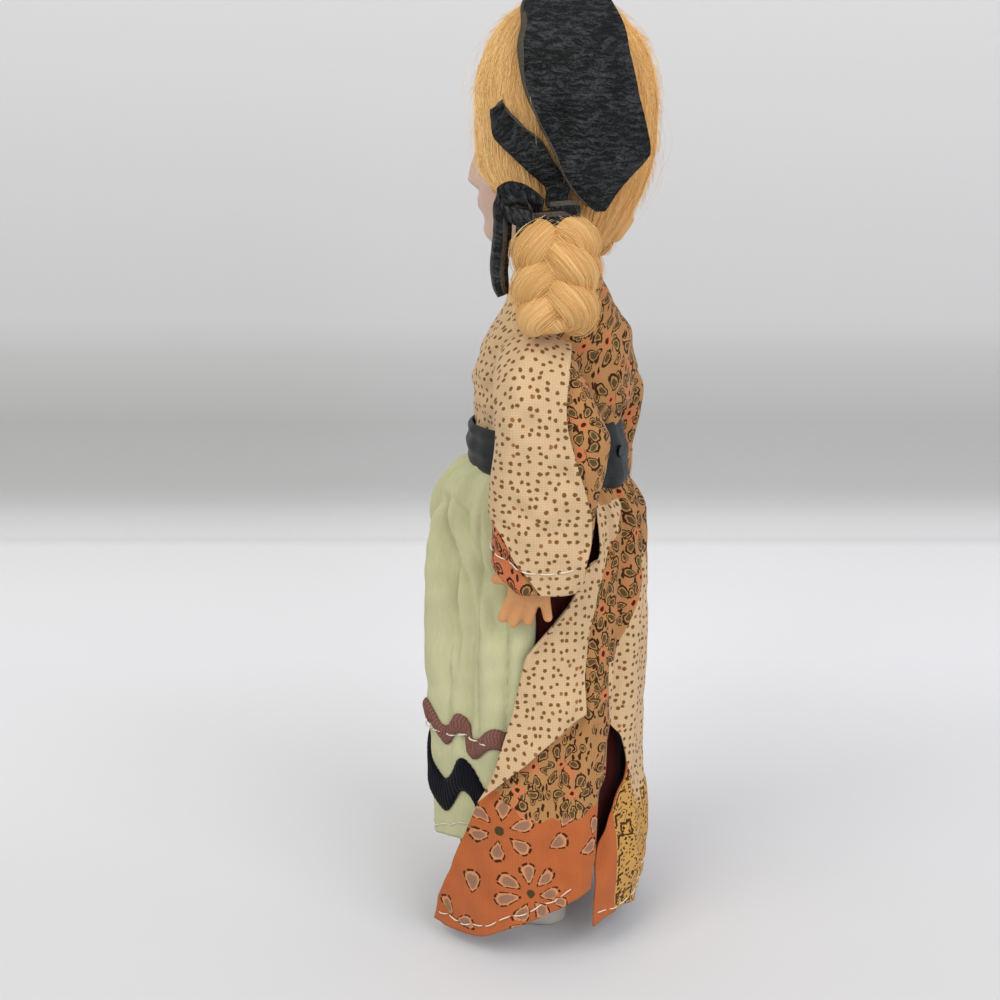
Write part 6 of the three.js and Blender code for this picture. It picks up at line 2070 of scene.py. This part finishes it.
@dataclass
class Studio:
    """A pale swept backdrop, two soft lamps and the camera at the photograph's angle.

    Attributes:
        azimuth: degrees of the camera round the doll, and pitch how far it looks down.
        distance: mm from the doll's axis, at a height in mm.
    """

    azimuth: float = 101.0
    pitch: float = 17.0
    distance: float = 340.0
    height: float = 196.0
    lens: float = 60.48
    shift: tuple[float, float] = (-0.049, 0.016)

    def make(self) -> None:
        """Sets up the view, the world, the backdrop, the lamps and the camera."""
        scene = bpy.context.scene
        scene.view_settings.view_transform = "Standard"
        world = bpy.data.worlds.new("studio")
        scene.world = world
        world.use_nodes = True
        world.node_tree.nodes["Background"].inputs["Color"].default_value = linear("#F2F4F7")
        world.node_tree.nodes["Background"].inputs["Strength"].default_value = 0.68
        self.backdrop()
        self.lamp("key", (0.6, -0.34, 0.8), 0.6, 4.0, "#FFFAF2")
        self.lamp("fill", (0.5, 0.55, 0.5), 0.6, 3.6, "#F8F9FF")
        camera = bpy.data.cameras.new("camera")
        camera.lens, camera.sensor_width = self.lens, 36
        camera.shift_x, camera.shift_y = self.shift
        camera.clip_start, camera.clip_end = 0.01, 20
        eye = bpy.data.objects.new("camera", camera)
        turn = math.radians(self.azimuth)
        eye.location = place(np.array([self.distance * math.sin(turn), -self.distance * math.cos(turn), self.height]))
        eye.rotation_euler = Euler((math.radians(90 - self.pitch), 0, turn))
        scene.collection.objects.link(eye)
        scene.camera = eye

    def lamp(self, name: str, spot: tuple[float, float, float], size: float, power: float, colour: str) -> None:
        """A square area lamp that faces the doll's middle."""
        data = bpy.data.lights.new(name, "AREA")
        data.energy, data.size, data.color = power, size, linear(colour)[:3]
        lamp = bpy.data.objects.new(name, data)
        lamp.location = spot
        way = Vector((0, 0, 0.1)) - Vector(spot)
        lamp.rotation_euler = way.to_track_quat("-Z", "Y").to_euler()
        bpy.context.scene.collection.objects.link(lamp)

    def backdrop(self) -> None:
        """Floor, cove and wall in one sweep across the view, and a paler wall above."""
        turn = math.radians(self.azimuth)
        ahead, side = np.array([-math.sin(turn), math.cos(turn)]), np.array([math.cos(turn), math.sin(turn)])
        far, cove = 282.0, 12.0  # mm from the doll to the wall, and the radius between floor and wall
        arc = np.linspace(0, np.pi / 2, 14)
        run = np.concatenate([[-1500.0, -300, 0, 150], far - cove + cove * np.sin(arc), [far, far, far + 1, far + 2]])
        rise = np.concatenate([[0.0, 0, 0, 0], cove - cove * np.cos(arc), [40, 71, 75, 700]])
        across = np.linspace(-1500, 1500, 31)
        ground = run[:, None, None] * ahead + across[None, :, None] * side
        points = np.concatenate([ground, np.broadcast_to(rise[:, None, None], (*ground.shape[:2], 1))], -1)
        skin = Skin(points, {"run": np.stack(np.broadcast_arrays(across, (run + rise)[:, None]), -1)})
        sweep = build("backdrop", [skin], [Paper("pale_paper").make()])


def dress_nodes(finishes: dict[str, Material]) -> None:
    """Gives each CAD node that still shows the material of its slot."""
    for names, finish in (
        (("body_front_shell", "body_back_shell"), "skin"), (("arm_elastic",), "elastic"),
        (("left_arm_pin", "right_arm_pin", "eye_rocker"), "metal"), (("belt_snap",), "snap"),
    ):
        for name in names:
            node = bpy.data.objects[name]
            for material_slot in node.material_slots:
                material_slot.link = "OBJECT"
                material_slot.material = finishes[finish]


def main() -> None:
    """Builds the studio and the doll, and reports each piece."""
    logging.basicConfig(level=logging.INFO, format="%(message)s")
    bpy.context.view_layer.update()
    Studio().make()
    prints = [
        FloralCotton("brown_floral_cotton").make(),
        DaisyCotton("orange_daisy_cotton").make(),
        DottedCotton("dotted_cream_cotton").make(),
        SquareCotton("mustard_square_cotton").make(),
        FloralCotton("orange_floral_cotton", ground="#C06E48", accent="#CB7B54", fill="#553D2B").make(),
    ]
    thread = Thread("sewing_thread").make()
    hair, loose = Mohair("combed_mohair").make(), LooseHair("loose_mohair").make()
    leather = [Leatherette("grained_leatherette").make(), Backing("leatherette_backing").make()]
    skin = SkinPlastic("moulded_skin_plastic").make()
    # The underskirt's near-black maroon is partly its own colour and partly painted shade for the outer skirt's deep
    # folds.
    pieces = [Underskirt(Cotton("maroon_cotton", ground="#4A1512", thread="#330D0C").make()).make()]
    pieces += Apron(
        Cotton("sage_cotton", ground="#C2C199", thread="#BCBB90", pitch=0.36, relief=0.03).make(),
        Rickrack("mauve_rickrack", ground="#7A5248").make(), Rickrack("navy_rickrack", ground="#0B0B14").make(), thread,
    ).make()
    pieces += Overskirt(prints, thread).make()
    pieces.append(Bodice(prints).make())
    pieces.append(Belt(Satin("charcoal_satin").make()).make())
    pieces.append(Head(FacePlastic("painted_face_plastic").make()).make())
    eye = Eye(EyePlastic("sleep_eye_plastic").make(), LooseHair("lash_hair", dark="#2A1A12", pale="#4A3020").make())
    wig, braid = Wig(hair, loose), Braid(hair, loose)
    arm, sleeve, tie = Arm(skin), Sleeve(prints, thread), Tie(leather)
    shoe = Shoe(SkinPlastic("moulded_shoe_plastic", colour="#C9C2B8", shade="#BDB5AA").make())
    for side in Side:
        pieces.append(arm.make(side))
        pieces += sleeve.make(side)
        pieces += eye.make(side)
        pieces += wig.make(side)
        pieces += braid.make(side)
        pieces += tie.make(side)
        pieces.append(shoe.make(side))
    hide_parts("wig")
    pieces += Hat(leather).make()
    dress_nodes({
        "skin": skin, "metal": Metal("nickel_plated_steel").make(),
        "snap": Metal("blackened_snap_metal", dark="#2A2B2E", bright="#5A5C60").make(),
        "elastic": Cotton("covered_elastic", ground="#D8D2C4", thread="#BFB8A8").make(),
    })
    for piece in pieces:
        log.info("%s: %d points", piece.name, len(piece.data.vertices))


if __name__ == "__main__":
    main()
